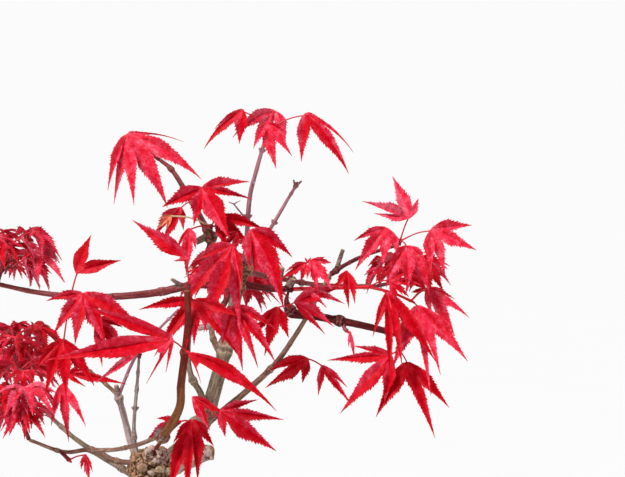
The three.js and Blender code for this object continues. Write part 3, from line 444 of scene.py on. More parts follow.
        Twig(path=[[1, 235.2, -75], [2, 238, -76]], leaves=[
            Leaf(-0.5, 249.5, -80, 27, [142, 196], longest=142, fall=0.6, width=0.13, droop=0.02, shift=(2.1, 1.2),
                turns=(3, -8), longs=(1.25, 0.69), slims=(1.3, 1.1)),
            Leaf(2, 231.5, -66, 27, [-24, -58, -98, -136, -176], longest=-176, width=0.12, droop=0.12,
                shift=(2.5, -1.3), turns=(-1, 7, 0, 10, 11), longs=(1.05, 1.26, 1, 1.01, 1.34),
                slims=(1, 0.8, 1, 0.8, 1.3)),
        ]),
    ]),
    Spray(name="foliage_front_side", on="front_bough", at=0.62, twigs=[
        Twig(path=[[-0.5, 204, -75], [1, 204, -82]], leaves=[
            Leaf(3, 203, -88, 48, [-14, -60], longest=-14, fall=0.55, width=0.08, droop=0.28, teeth=0.3,
                shift=(-1.2, 0.3), turns=(5, -3), longs=(0.77, 1.12), slims=(0.4, 1.2)),
            Leaf(-3.5, 209, -86, 49, [152, 186, 240, 258], longest=180, fall=0.5, width=0.085, droop=0.05, teeth=0.3,
                shift=(-2.5, 1.7), turns=(6, 1, -1, 1), longs=(1.05, 1.34, 0.73, 0.65), slims=(1.1, 1.3, 0.4, 0.8)),
        ]),
    ]),
    Spray(name="foliage_left_front", on="left_front_bough", at=1, twigs=[
        Twig(path=[[-58, 230, -54], [-57, 232, -60]], leaves=[
            Leaf(-52.5, 233.5, -66, 27, [-6, -60, -97, -132, -165], longest=-70, width=0.16, shift=(1.4, -0.1),
                turns=(-15, 0, 1, 3, -10), longs=(1, 1, 0.98, 1.08, 1.35), slims=(1, 1, 1, 1.1, 1)),
            Leaf(-54, 244, -58, 29, [22, 76], longest=22, width=0.15, droop=0.14, teeth=0.2, shift=(-0.7, -0.4),
                turns=(1, 0), longs=(0.81, 1.13), slims=(1.3, 1.3)),
            Leaf(-60, 213, -66, 30, [-40, -76, -110, -140], longest=-76, shift=(-0.9, -2.5), turns=(0, 0, -4, -6)),
            Leaf(-44, 222, -62, 21, [-18, -50, -84], teeth=0.5, shift=(0, -0.8), turns=(7, 6, 10),
                longs=(1.33, 1.26, 0.99), slims=(0.7, 1.2, 1.1), added=True),
        ]),
    ]),
    Spray(name="foliage_side_bough", on="side_bough", at=1, twigs=[
        Twig(path=[[2, 211, -12], [3, 214, -20]], leaves=[
            Leaf(7, 229, -26, 30, [-40, -66, -92, -118], shift=(-0.9, 0), turns=(-16, -2, 2, -3),
                longs=(1.03, 0.7, 0.55, 1.35), slims=(1.1, 1, 0.8, 1.3)),
        ]),
    ]),
    Spray(name="foliage_left_twig", on="left_twig_outer", at=1, twigs=[
        Twig(path=[[-49.2, 195.6, 2], [-53, 197, -4]], leaves=[
            Leaf(-58, 196, -10, 29, [10, -6, -22], width=0.12, droop=0.08, shift=(-2.3, -2.5), turns=(-4, 0, 2),
                longs=(0.66, 1.1, 0.61), slims=(1, 1, 1.1)),
            Leaf(-62.5, 188, -10, 30, [-52, -78, -104], longest=-52, width=0.1, shift=(1, 0.2), turns=(0, 0, 4),
                longs=(1, 1, 0.86)),
        ]),
    ]),
    Spray(name="foliage_low_left", on="low_left_bough", at=0.72, twigs=[
        Twig(path=[[-61, 154, -10], [-58, 150, -14]], leaves=[
            Leaf(-51.5, 151.5, -16, 14, [-48, -80, -110], shift=(1.4, 1.5), turns=(6, 6, -6), longs=(0.76, 1, 1),
                slims=(1, 0.8, 0.8)),
        ]),
    ]),
    Spray(name="foliage_thin_bough", on="thin_bough", at=1, twigs=[
        Twig(path=[[-23, 201.2, -4], [-22.5, 203, -5]], leaves=[
            Leaf(-24, 204.5, -8, 20.5, [40, 155, 213], longest=213, fall=0.6, width=0.08, droop=0, shift=(0.3, -0.1),
                turns=(0, 0, 4), longs=(1.01, 1, 1.24), slims=(1, 1, 1.1)),
        ]),
    ]),
)

GROWN: tuple[GrownMass, ...] = (
    GrownMass(name="foliage_left_tip", on="left_bough", at=1, heart=[-90, 250, 4], reach=[33, 36, 46], twigs=4,
        seed=11),
    GrownMass(name="foliage_left_low", on="low_left_bough", at=1, heart=[-86, 182, -14], reach=[29, 34, 46], twigs=4,
        seed=5),
    GrownMass(name="foliage_back_left", on="back_left_bough", at=1, heart=[-88, 204, 64], reach=[32, 36, 42], twigs=4,
        seed=14),
    GrownMass(name="foliage_back", on="back_bough", at=1, heart=[24, 242, 84], reach=[30, 32, 36], twigs=4, seed=31),
    GrownMass(name="foliage_back_inner", on="back_bough", at=0.5, heart=[25, 236, 44], reach=[30, 30, 30], twigs=3,
        seed=42),
    GrownMass(name="foliage_back_right", on="back_right_bough", at=1, heart=[110, 240, 52], reach=[27, 32, 36],
        twigs=3, seed=23),
)

LOOKS: dict[str, LimbLook] = {
    "trunk": LimbLook(Wood.TRUNK),
    "leader": LimbLook(Wood.OLD, 0.8, (0.62,)),
    "whip": LimbLook(Wood.LILAC, 0.84),
    "bare_twig": LimbLook(Wood.LILAC, 0.84, (0.95,)),
    "right_bough": LimbLook(Wood.DARK, 0.6),
    "outer_right_bough": LimbLook(Wood.DARK, 0.9, (0.17, 0.55), neck=0.3),
    "diagonal_bough": LimbLook(Wood.BROWN, 0.74, (0.43, 0.97)),
    "upper_right_bough": LimbLook(Wood.DARK, 0.8, (0.08,)),
    "left_bough": LimbLook(Wood.PURPLE, 0.78),
    "upper_left_bough": LimbLook(Wood.PURPLE, 0.95, (0.72, 0.9), neck=0.7),
    "low_left_bough": LimbLook(Wood.BROWN, 0.64, (0.25, 0.48, 0.75)),
    "front_arm": LimbLook(Wood.BROWN, 0.62, (0.5,)),
    "front_bough": LimbLook(Wood.RUSSET, 1.05, gnarled=False),
    "left_bough_low": LimbLook(Wood.GREY, 0.84, (0.93,)),
    "left_twig_outer": LimbLook(Wood.BROWN, 0.9, (0.4, 0.9)),
    "left_twig_inner": LimbLook(Wood.LILAC, 0.8, (0.5,)),
    "thin_bough": LimbLook(Wood.PALE, 0.78, (0.3, 0.73, 0.88)),
    "side_bough": LimbLook(Wood.OLD, 0.78, (0.47,)),
    "short_spur": LimbLook(Wood.GREY, 0.9, (0.5, 0.7)),
    "left_front_bough": LimbLook(Wood.PURPLE, 0.9, (0.5,)),
    "back_left_bough": LimbLook(Wood.OLD, 0.6, (0.3, 0.8)),
    "back_bough": LimbLook(Wood.BROWN, 0.72, (0.3, 0.55, 0.8)),
    "back_right_bough": LimbLook(Wood.PURPLE, 0.8, (0.25, 0.5, 0.75)),
}


@dataclass(frozen=True)
class Growth:
    """The rule by which a mass out of the viewer's sight grows. Angles are degrees, lengths mm."""

    start: float = 0.25
    golden: float = 137.5
    jitter: float = 30.0
    attempts: int = 12
    rise: tuple[float, float] = (-5.0, 35.0)
    last_rise: tuple[float, float] = (55.0, 80.0)
    length: tuple[float, float] = (0.2, 0.5)
    arch: float = 1.5
    stalk: tuple[float, float] = (9.0, 14.0)
    stalk_rise: float = 35.0
    fork: float = 62.0
    size: tuple[float, float] = (20.0, 28.0)
    width: float = 0.125
    dip: tuple[float, float] = (15.0, 60.0)
    room: float = 3.6
    stem_radius: float = 1.1
    twig_radius: float = 0.8
    taper: float = 0.8
    fan: tuple[float, ...] = (-76.0, -38.0, 0.0, 38.0, 76.0)
    fall: float = 0.3
    droop: float = 0.2
    slim: float = 1.35


GROWTH = Growth()
FINER = Growth(attempts=14, rise=(-25.0, 45.0), length=(0.16, 0.3), stalk=(5.0, 9.0),
               size=(12.0, 18.0), room=2.3, twig_radius=0.55)


class SeededNumbers:
    """A small seeded generator of numbers from 0 to 1, the same as in the part's source."""

    MASK = 0xFFFFFFFF
    STRIDE = 0x6D2B79F5

    def __init__(self, seed: int) -> None:
        """Starts the generator at a seed."""
        self._state = seed & self.MASK

    def __call__(self) -> float:
        """Draws the next number."""
        mask = self.MASK
        self._state = (self._state + self.STRIDE) & mask
        s = self._state
        t = ((s ^ (s >> 15)) * (s | 1)) & mask
        t = ((t + (((t ^ (t >> 7)) * (t | 61)) & mask)) & mask) ^ t
        return ((t ^ (t >> 14)) & mask) / (mask + 1)

    def between(self, span: Sequence[float]) -> float:
        """Draws a number between two ends."""
        return span[0] + (span[1] - span[0]) * self()


class PathCurve:
    """A smooth curve through points, measured along its length."""

    DIVISIONS = 200
    TINY = 1e-4

    def __init__(self, points: Sequence[Vector]) -> None:
        """Measures the curve.

        Args:
            points: at least two points in millimetres.
        """
        self.points = [Vector(point) for point in points]
        steps = [self._at(i / self.DIVISIONS) for i in range(self.DIVISIONS + 1)]
        lengths = [0.0]
        for before, after in zip(steps, steps[1:]):
            lengths.append(lengths[-1] + (after - before).length)
        self._lengths = np.array(lengths)
        self.length = lengths[-1]

    def _at(self, t: float) -> Vector:
        """Gives the curve's point at a raw parameter from 0 to 1."""
        pts = self.points
        last = len(pts) - 1
        p = last * t
        i = min(int(math.floor(p)), last - 1)
        w = p - i
        p0 = pts[i - 1] if i > 0 else pts[0] * 2 - pts[1]
        p1, p2 = pts[i], pts[i + 1]
        p3 = pts[i + 2] if i + 2 <= last else pts[last] * 2 - pts[last - 1]
        d0, d1, d2 = ((b - a).length_squared ** 0.25 for a, b in ((p0, p1), (p1, p2), (p2, p3)))
        d1 = d1 if d1 > self.TINY else 1.0
        d0 = d0 if d0 > self.TINY else d1
        d2 = d2 if d2 > self.TINY else d1
        t1 = ((p1 - p0) / d0 - (p2 - p0) / (d0 + d1) + (p2 - p1) / d1) * d1
        t2 = ((p2 - p1) / d1 - (p3 - p1) / (d1 + d2) + (p3 - p2) / d2) * d1
        return p1 + t1 * w + (-3 * p1 + 3 * p2 - 2 * t1 - t2) * w * w + (2 * p1 - 2 * p2 + t1 + t2) * w ** 3

    def point_at(self, share: float) -> Vector:
        """Gives the point at a share of the length."""
        t = np.interp(share * self.length, self._lengths, np.linspace(0, 1, self.DIVISIONS + 1))
        return self._at(float(t))

    def spaced(self, count: int) -> list[Vector]:
        """Gives count + 1 points evenly spaced along the length."""
        return [self.point_at(i / count) for i in range(count + 1)]


def frames_along(points: Sequence[Vector]) -> list[tuple[Vector, Vector, Vector]]:
    """Carries a frame along a polyline without turning it.

    Args:
        points: the polyline.

    Returns:
        The tangent, normal and binormal at each point.
    """
    count = len(points)
    tangents = [(points[min(i + 1, count - 1)] - points[max(i - 1, 0)]).normalized() for i in range(count)]
    first = tangents[0]
    axis = min(((abs(first[k]), -k) for k in range(3)))[1] * -1
    helper = Vector([1.0 if k == axis else 0.0 for k in range(3)])
    normal = first.cross(first.cross(helper).normalized())
    frames = []
    for tangent in tangents:
        normal = (normal - tangent * normal.dot(tangent)).normalized()
        frames.append((tangent, normal, tangent.cross(normal)))
    return frames


def direction(heading: float, rise: float) -> Vector:
    """Gives a direction from its heading and its rise above level, in radians."""
    return Vector((math.cos(heading) * math.cos(rise), math.sin(heading) * math.cos(rise), math.sin(rise)))


def linear(red: int, green: int, blue: int) -> tuple[float, float, float, float]:
    """Turns a colour as seen on a screen, 0 to 255, into the numbers that a shader takes."""
    out = [c / 255 / 12.92 if c <= 10 else ((c / 255 + 0.055) / 1.055) ** 2.4 for c in (red, green, blue)]
    return (out[0], out[1], out[2], 1.0)


# Finishes


class NodeSheet:
    """A new material and short ways to lay out its nodes."""

    NOISE_RANGE = (0.3, 0.7)

    def __init__(self, name: str) -> None:
        """Makes the material with a plain shader."""
        self.material = bpy.data.materials.new(name)
        self.material.use_nodes = True
        self.tree = self.material.node_tree
        self.shader = self.tree.nodes["Principled BSDF"]

    def feed(self, socket: bpy.types.NodeSocket, value: object) -> None:
        """Links a socket's source, or sets its value."""
        if isinstance(value, bpy.types.NodeSocket):
            self.tree.links.new(value, socket)
        else:
            socket.default_value = value

    def add(self, kind: str, inputs: dict[str | int, object] | None = None, **settings: object) -> bpy.types.Node:
        """Adds a node.

        Args:
            kind: the node's type.
            inputs: the value or the source of each of its sockets.
            settings: its properties by name.

        Returns:
            The node.
        """
        node = self.tree.nodes.new(kind)
        for key, value in settings.items():
            setattr(node, key, value)
        for key, value in (inputs or {}).items():
            self.feed(node.inputs[key], value)
        return node

    def math(self, operation: str, a: object, b: object = 0.0, clamp: bool = False) -> bpy.types.NodeSocket:
        """Adds a sum on one or two values."""
        return self.add("ShaderNodeMath", {0: a, 1: b}, operation=operation, use_clamp=clamp).outputs[0]

    def place(self, scale: Sequence[float] = (1.0, 1.0, 1.0), attribute: str | None = None,
              uv: bool = False) -> bpy.types.NodeSocket:
        """Gives the surface's coordinates, scaled.

        Args:
            scale: the scale along each axis.
            attribute: a vector attribute to read in place of the object's coordinates.
            uv: whether the piece's UV map is read.

        Returns:
            The coordinates' socket.
        """
        if attribute:
            source = self.add("ShaderNodeAttribute", attribute_name=attribute).outputs["Vector"]
        else:
            source = self.add("ShaderNodeTexCoord").outputs["UV" if uv else "Object"]
        return self.add("ShaderNodeMapping", {"Vector": source, "Scale": scale}).outputs["Vector"]

    def along(self, axis: str, vector: bpy.types.NodeSocket) -> bpy.types.NodeSocket:
        """Gives the part of a vector along one axis."""
        return self.add("ShaderNodeSeparateXYZ", {0: vector}).outputs[axis]

    def noise(self, vector: bpy.types.NodeSocket, scale: float, detail: float = 3.0,
              roughness: float = 0.55, distortion: float = 0.0) -> bpy.types.NodeSocket:
        """Adds a noise and gives its value."""
        return self.add("ShaderNodeTexNoise", {"Vector": vector, "Scale": scale, "Detail": detail,
                                               "Roughness": roughness, "Distortion": distortion}).outputs["Fac"]

    def ramp(self, factor: bpy.types.NodeSocket,
             stops: Sequence[tuple[float, Sequence[float]]]) -> bpy.types.NodeSocket:
        """Adds a colour ramp and gives its colour."""
        node = self.add("ShaderNodeValToRGB")
        elements = node.color_ramp.elements
        while len(elements) < len(stops):
            elements.new(0.5)
        for element, (position, colour) in zip(elements, stops):
            element.position = position
            element.color = colour
        self.tree.links.new(factor, node.inputs["Fac"])
        return node.outputs["Color"]

    def mix(self, factor: bpy.types.NodeSocket, first: object, second: object) -> bpy.types.NodeSocket:
        """Mixes two colours."""
        return self.add("ShaderNodeMix", {0: factor, 6: first, 7: second}, data_type="RGBA").outputs[2]

    def map_range(self, value: bpy.types.NodeSocket, source: Sequence[float],
                  target: Sequence[float] = (0.0, 1.0)) -> bpy.types.NodeSocket:
        """Maps a value from one range onto another."""
        return self.add("ShaderNodeMapRange", {
            "Value": value, "From Min": source[0], "From Max": source[1],
            "To Min": target[0], "To Max": target[1]}).outputs["Result"]

    def spread(self, factor: bpy.types.NodeSocket, low: float, high: float) -> bpy.types.NodeSocket:
        """Maps a noise's middle range onto low to high."""
        return self.map_range(factor, self.NOISE_RANGE, (low, high))

    def bump(self, height: bpy.types.NodeSocket, strength: float, distance: float,
             under: bpy.types.NodeSocket | None = None) -> bpy.types.NodeSocket:
        """Adds a bump, over another one where given."""
        inputs = {"Strength": strength, "Distance": distance, "Height": height}
        if under is not None:
            inputs["Normal"] = under
        return self.add("ShaderNodeBump", inputs).outputs["Normal"]

    def finish(self, colour: object, roughness: object, normal: bpy.types.NodeSocket | None = None,
               specular: float = 0.5) -> bpy.types.Material:
        """Feeds the shader and gives the material."""
        self.feed(self.shader.inputs["Base Color"], colour)
        self.feed(self.shader.inputs["Roughness"], roughness)
        self.shader.inputs["Specular IOR Level"].default_value = specular
        if normal is not None:
            self.feed(self.shader.inputs["Normal"], normal)
        return self.material


@dataclass(frozen=True)
class LeafFinish:
    """A leaf's skin: blotches of three shades, and side veins that leave the rib like a herringbone.

    The side veins are darkened in their grooves, partly by their own dark red and partly by painted shade.
    """

    name: str
    dark: tuple[int, int, int]
    base: tuple[int, int, int]
    light: tuple[int, int, int]
    roughness: tuple[float, float] = (0.42, 0.56)
    # vein is how strongly the side veins' grooves are darkened: partly their own dark red, partly painted shade.
    vein: float = 0.42

    def material(self) -> bpy.types.Material:
        """Makes the material."""
        sheet = NodeSheet(self.name)
        spot = sheet.place()
        blotch = sheet.noise(spot, 330.0, 4.0, 0.62)
        colour = sheet.ramp(blotch, [(0.32, linear(*self.dark)), (0.52, linear(*self.base)),
                                     (0.74, linear(*self.light))])
        # Side veins: dark lines in grooves, partly the veins' own dark red and partly painted shade in the grooves.
        stripe = sheet.math("PINGPONG", sheet.along("X", sheet.place(uv=True)), 0.5)
        line = sheet.math("MULTIPLY", stripe, 5.0, clamp=True)
        groove = sheet.math("SUBTRACT", 1.0, line)
        shade = sheet.math("MULTIPLY", groove, self.vein)
        colour = sheet.mix(shade, colour, linear(*self.dark))
        fine = sheet.noise(spot, 900.0, 2.0)
        height = sheet.math("ADD", sheet.math("MULTIPLY", fine, 0.35), sheet.math("MULTIPLY", line, 0.5))
        normal = sheet.bump(height, 0.35, 0.0003)
        rough = sheet.spread(sheet.noise(spot, 260.0), *self.roughness)
        return sheet.finish(colour, rough, normal, 0.13)


@dataclass(frozen=True)
class StalkFinish:
    """The skin of a stalk, a rib or a young twig: two shades along it and a low gloss."""

    name: str
    dark: tuple[int, int, int]
    light: tuple[int, int, int]
    scale: float = 220.0
    roughness: tuple[float, float] = (0.38, 0.52)

    def material(self) -> bpy.types.Material:
        """Makes the material."""
        sheet = NodeSheet(self.name)
        spot = sheet.place()
        tone = sheet.noise(spot, self.scale, 3.0, 0.6)
        colour = sheet.ramp(tone, [(0.36, linear(*self.dark)), (0.64, linear(*self.light))])
        normal = sheet.bump(sheet.noise(spot, 1400.0, 2.0), 0.2, 0.0002)
        return sheet.finish(colour, sheet.spread(tone, *self.roughness), normal, 0.28)


@dataclass(frozen=True)
class BarkFinish:
    """Bark drawn out along the limb, with fine cracks and paler flecks across it.

    Painted shade darkens its hollows, and painted light pales its lumps.
    """

    name: str
    deep: tuple[int, int, int]
    base: tuple[int, int, int]
    pale: tuple[int, int, int]
    stretch: float = 0.14
    scale: float = 900.0
    fleck: float = 0.4
    crack: float = 0.5
    roughness: tuple[float, float] = (0.62, 0.85)
    crown: tuple[int, int, int] | None = None
    crown_span: tuple[float, float] = (0.026, 0.044)

    def material(self) -> bpy.types.Material:
        """Makes the material."""
        sheet = NodeSheet(self.name)
        along = sheet.place((1.0, 1.0, self.stretch), attribute="grain")
        streak = sheet.noise(along, self.scale, 5.0, 0.62, 0.4)
        colour = sheet.ramp(streak, [(0.3, linear(*self.deep)), (0.5, linear(*self.base)),
                                     (0.7, linear(*self.pale))])
        across = sheet.place((0.35, 0.35, 1.4), attribute="grain")
        spots = sheet.noise(across, 700.0, 3.0, 0.5)
        mask = sheet.math("MULTIPLY", sheet.math("SUBTRACT", spots, 0.58, clamp=True), 7.0, clamp=True)
        colour = sheet.mix(sheet.math("MULTIPLY", mask, self.fleck), colour, linear(*self.pale))
        broad = sheet.noise(sheet.place((1.0, 1.0, 0.6), attribute="grain"), 120.0, 2.0)
        colour = sheet.mix(sheet.spread(broad, 0.0, 0.25), colour, linear(*self.deep))
        if self.crown:
            rise = sheet.map_range(sheet.along("Z", sheet.place(attribute="grain")), self.crown_span)
            colour = sheet.mix(rise, colour, linear(*self.crown))
        # Painted shade in the bark's hollows, and painted light on its lumps, both read from the limb's hollow
        # attribute.
        hollow = sheet.add("ShaderNodeAttribute", attribute_name="hollow").outputs["Fac"]
        colour = sheet.mix(sheet.math("MULTIPLY", hollow, 0.85, clamp=True), colour, linear(*self.deep))
        lump = sheet.math("MULTIPLY", hollow, -0.5, clamp=True)
        colour = sheet.mix(lump, colour, linear(*self.pale))
        cracks = sheet.noise(along, self.scale * 1.6, 4.0, 0.7)
        normal = sheet.bump(sheet.math("ADD", streak, sheet.math("MULTIPLY", cracks, 0.5)), self.crack, 0.0005)
        return sheet.finish(colour, sheet.spread(streak, *self.roughness), normal, 0.2)


@dataclass(frozen=True)
class CutWoodFinish:
    """A weathered pruning cut: grey end grain in rings."""

    name: str
    dark: tuple[int, int, int]
    light: tuple[int, int, int]

    def material(self) -> bpy.types.Material:
        """Makes the material."""
        sheet = NodeSheet(self.name)
        spot = sheet.place()
        tone = sheet.noise(spot, 700.0, 5.0, 0.7)
        colour = sheet.ramp(tone, [(0.35, linear(*self.dark)), (0.62, linear(*self.light))])
        normal = sheet.bump(sheet.noise(spot, 1600.0, 4.0, 0.7), 0.6, 0.0004)
        return sheet.finish(colour, sheet.spread(tone, 0.75, 0.92), normal, 0.2)


@dataclass(frozen=True)
class ClayFinish:
    """Unglazed clay: a fine speckle, broad firing clouds, faint turning lines and a chalky foot."""

    name: str
    deep: tuple[int, int, int]
    base: tuple[int, int, int]
    pale: tuple[int, int, int]
    dust: tuple[int, int, int]
    foot: float = 0.016
    chalk: float = 0.75

    def material(self) -> bpy.types.Material:
        """Makes the material."""
        sheet = NodeSheet(self.name)
        spot = sheet.place()
        clouds = sheet.noise(spot, 26.0, 4.0, 0.6)
        colour = sheet.ramp(clouds, [(0.3, linear(*self.deep)), (0.52, linear(*self.base)),
                                     (0.74, linear(*self.pale))])
        speckle = sheet.noise(spot, 1500.0, 2.0, 0.5)
        dots = sheet.math("MULTIPLY", sheet.math("SUBTRACT", speckle, 0.6, clamp=True), 5.0, clamp=True)
        colour = sheet.mix(sheet.math("MULTIPLY", dots, 0.45), colour, linear(*self.deep))
        low = sheet.map_range(sheet.along("Z", spot), (0.0, self.foot), (self.chalk, 0.0))
        chalk = sheet.math("MULTIPLY", low, sheet.noise(spot, 160.0, 4.0, 0.7))
        colour = sheet.mix(chalk, colour, linear(*self.dust))
        lines = sheet.noise(sheet.place((0.02, 0.02, 1.0)), 900.0, 2.0)
        normal = sheet.bump(lines, 0.25, 0.0004)
        normal = sheet.bump(sheet.noise(spot, 1100.0, 4.0, 0.7), 0.35, 0.0003, normal)
        return sheet.finish(colour, sheet.spread(clouds, 0.62, 0.82), normal, 0.32)


@dataclass(frozen=True)
class EarthFinish:
    """Grains of baked clay, pumice or bark, each a little mottled."""

    name: str
    dark: tuple[int, int, int]
    light: tuple[int, int, int]
    scale: float = 420.0

    def material(self) -> bpy.types.Material:
        """Makes the material."""
        sheet = NodeSheet(self.name)
        spot = sheet.place()
        tone = sheet.noise(spot, self.scale, 5.0, 0.65)
        colour = sheet.ramp(tone, [(0.32, linear(*self.dark)), (0.66, linear(*self.light))])
        normal = sheet.bump(sheet.noise(spot, 2200.0, 3.0, 0.7), 0.7, 0.0004)
        return sheet.finish(colour, sheet.spread(tone, 0.84, 0.96), normal, 0.18)


@dataclass(frozen=True)
class FloorFinish:
    """A matt pale studio floor, as bright under the lights as the backdrop."""

    name: str = "studio_floor"
    dark: float = 0.763
    light: float = 0.769

    def material(self) -> bpy.types.Material:
        """Makes the material."""
        sheet = NodeSheet(self.name)
        tone = sheet.noise(sheet.place(), 3.0, 2.0)
        colour = sheet.ramp(tone, [(at, (grey, grey, grey, 1.0))
                                   for at, grey in zip(sheet.NOISE_RANGE, (self.dark, self.light))])
        return sheet.finish(colour, 0.9, None, 0.1)


LEAF_SKINS: dict[Tint, LeafFinish] = {
    Tint.CRIMSON: LeafFinish("leaf_crimson", (206, 8, 38), (226, 50, 80), (240, 110, 134)),
    Tint.SCARLET: LeafFinish("leaf_scarlet", (212, 4, 30), (230, 46, 72), (242, 108, 130)),
    Tint.DARK: LeafFinish("leaf_dark", (180, 0, 12), (204, 2, 28), (220, 36, 62)),
    Tint.ROSE: LeafFinish("leaf_rose", (218, 52, 84), (234, 94, 120), (246, 140, 158)),
    Tint.APRICOT: LeafFinish("leaf_apricot", (206, 84, 58), (228, 128, 96), (240, 168, 132)),
}
LEAF_UNDERSIDES: dict[Tint, LeafFinish] = {
    Tint.CRIMSON: LeafFinish("under_crimson", (198, 12, 44), (218, 44, 76), (234, 96, 122), (0.55, 0.7)),
    Tint.SCARLET: LeafFinish("under_scarlet", (204, 16, 44), (224, 52, 78), (238, 102, 122), (0.55, 0.7)),
    Tint.DARK: LeafFinish("under_dark", (176, 4, 30), (198, 18, 50), (214, 54, 80), (0.55, 0.7)),
    Tint.ROSE: LeafFinish("under_rose", (208, 44, 76), (226, 84, 110), (240, 126, 146), (0.55, 0.7)),
    Tint.APRICOT: LeafFinish("under_apricot", (210, 96, 72), (230, 138, 108), (242, 176, 146), (0.55, 0.7)),
}
# The tint taken by the half of a lobe turned away from LeafBunch.LIGHT, darker than the leaf's own where a darker one
# exists: painted shade.
SHADED: dict[Tint, Tint] = {
    Tint.CRIMSON: Tint.DARK, Tint.SCARLET: Tint.CRIMSON, Tint.DARK: Tint.DARK, Tint.ROSE: Tint.CRIMSON,
    Tint.APRICOT: Tint.APRICOT,
}
RIB_SKIN = StalkFinish("leaf_rib", (204, 14, 46), (238, 92, 112))
STALK_SKIN = StalkFinish("leaf_stalk", (180, 6, 30), (220, 32, 56))
PALE_STALK_SKIN = StalkFinish("pale_stalk", (202, 168, 118), (232, 214, 170))
SHOOT_SKIN = StalkFinish("red_shoot", (206, 2, 18), (230, 22, 38))
TWIG_SKIN = StalkFinish("twig_bark", (104, 24, 32), (152, 52, 56))

BARKS: dict[Wood, BarkFinish] = {
    Wood.TRUNK: BarkFinish("bark_trunk", (74, 56, 44), (146, 122, 98), (200, 182, 156),
                           stretch=0.2, scale=480.0, crack=0.8),
    Wood.OLD: BarkFinish("bark_old", (84, 66, 54), (138, 119, 98), (186, 170, 148), scale=1100.0),
    Wood.GREY: BarkFinish("bark_grey", (112, 84, 84), (166, 142, 140), (212, 198, 194), scale=700.0,
                          stretch=0.05, crack=0.25),
    Wood.PALE: BarkFinish("bark_pale", (92, 74, 70), (150, 132, 126), (206, 190, 182), scale=900.0,
                          stretch=0.08, crack=0.3),
    Wood.BROWN: BarkFinish("bark_brown", (88, 54, 44), (144, 104, 88), (190, 160, 140), scale=1300.0),
    Wood.PURPLE: BarkFinish("bark_purple", (88, 22, 26), (136, 54, 56), (176, 108, 106), scale=1200.0,
                            stretch=0.06, roughness=(0.42, 0.6), crack=0.3),
    Wood.LILAC: BarkFinish("bark_lilac", (116, 62, 74), (170, 112, 124), (204, 160, 166), scale=1300.0,
                           stretch=0.06, roughness=(0.42, 0.6), crack=0.3),
    Wood.DARK: BarkFinish("bark_dark", (52, 2, 8), (98, 14, 22), (142, 58, 62), scale=1200.0,
                          stretch=0.06, roughness=(0.4, 0.58), crack=0.3),
    Wood.RUSSET: BarkFinish("bark_russet", (78, 34, 20), (132, 76, 44), (168, 116, 72), scale=1000.0,
                            stretch=0.1, crack=0.3, crown=(106, 14, 12)),
}
RING_SKIN = BarkFinish("bark_ring", (112, 86, 70), (172, 146, 122), (210, 190, 166), stretch=1.0,
                       scale=1400.0, crack=0.4)
RED_RING_SKIN = BarkFinish("bark_red_ring", (88, 34, 34), (134, 84, 78), (172, 130, 120), stretch=1.0,
                           scale=1400.0, crack=0.4)
CALLUS_SKIN = BarkFinish("bark_callus", (60, 32, 22), (134, 90, 64), (192, 154, 116), stretch=0.5,
                         scale=520.0, fleck=0.3, crack=0.9)
STUMP_SKIN = BarkFinish("bark_stump", (116, 80, 70), (176, 142, 128), (222, 200, 190), stretch=1.6,
                        scale=700.0, fleck=0.5, crack=0.6)
DEAD_SKIN = BarkFinish("bark_dead", (76, 54, 50), (134, 108, 100), (184, 160, 150), scale=1000.0,
                       stretch=0.1, crack=0.5)
CUT_SKIN = CutWoodFinish("cut_wood", (96, 70, 54), (206, 178, 148))
POT_SKIN = ClayFinish("pot_clay", (52, 36, 30), (84, 60, 50), (110, 82, 68), (164, 150, 136))
GRAIN_SKINS: tuple[EarthFinish, ...] = (
    EarthFinish("grain_ochre", (104, 76, 48), (164, 128, 84)),
    EarthFinish("grain_brown", (62, 46, 36), (112, 86, 64)),
    EarthFinish("grain_pumice", (128, 122, 112), (186, 180, 168)),
    EarthFinish("grain_black", (34, 30, 28), (70, 62, 56)),
)
BED_SKIN = EarthFinish("soil_bed", (40, 31, 25), (84, 66, 50), 260.0)


class FinishBook:
    """Makes each finish once and hands its material out."""

    def __init__(self) -> None:
        """Starts with no materials."""
        self._made: dict[str, bpy.types.Material] = {}

    def of(self, finish: object) -> bpy.types.Material:
        """Gives the material of a finish."""
        if finish.name not in self._made:
            self._made[finish.name] = finish.material()
        return self._made[finish.name]

    def dress(self, piece: bpy.types.Object, finishes: Iterable[object]) -> None:
        """Puts finishes into the slots of a new piece, in order."""
        for finish in finishes:
            piece.data.materials.append(self.of(finish))


# Modelling helpers


def alone(piece: bpy.types.Object) -> None:
    """Selects a piece and nothing else, and makes it active."""
    bpy.ops.object.select_all(action="DESELECT")
    piece.select_set(True)
    bpy.context.view_layer.objects.active = piece


def finish_with(piece: bpy.types.Object, kind: str, **settings: object) -> None:
    """Adds a modifier to a piece and applies it.

    Args:
        piece: the piece.
        kind: the modifier's type.
        settings: its settings by name.
    """
    alone(piece)
    modifier = piece.modifiers.new(kind.lower(), kind)
    for key, value in settings.items():
        setattr(modifier, key, value)
    bpy.ops.object.modifier_apply(modifier=modifier.name)


def smooth_by_angle(piece: bpy.types.Object, degrees: float) -> None:
    """Shades a piece smooth, with edges above an angle kept sharp."""
    alone(piece)
    bpy.ops.object.shade_smooth_by_angle(angle=math.radians(degrees))


def joined(pieces: Sequence[bpy.types.Object], name: str) -> bpy.types.Object:
    """Joins pieces into the first of them and names it."""
    alone(pieces[0])
    for piece in pieces[1:]:
        piece.select_set(True)
    if len(pieces) > 1:
        bpy.ops.object.join()
    pieces[0].name = name
    pieces[0].data.name = name
    return pieces[0]


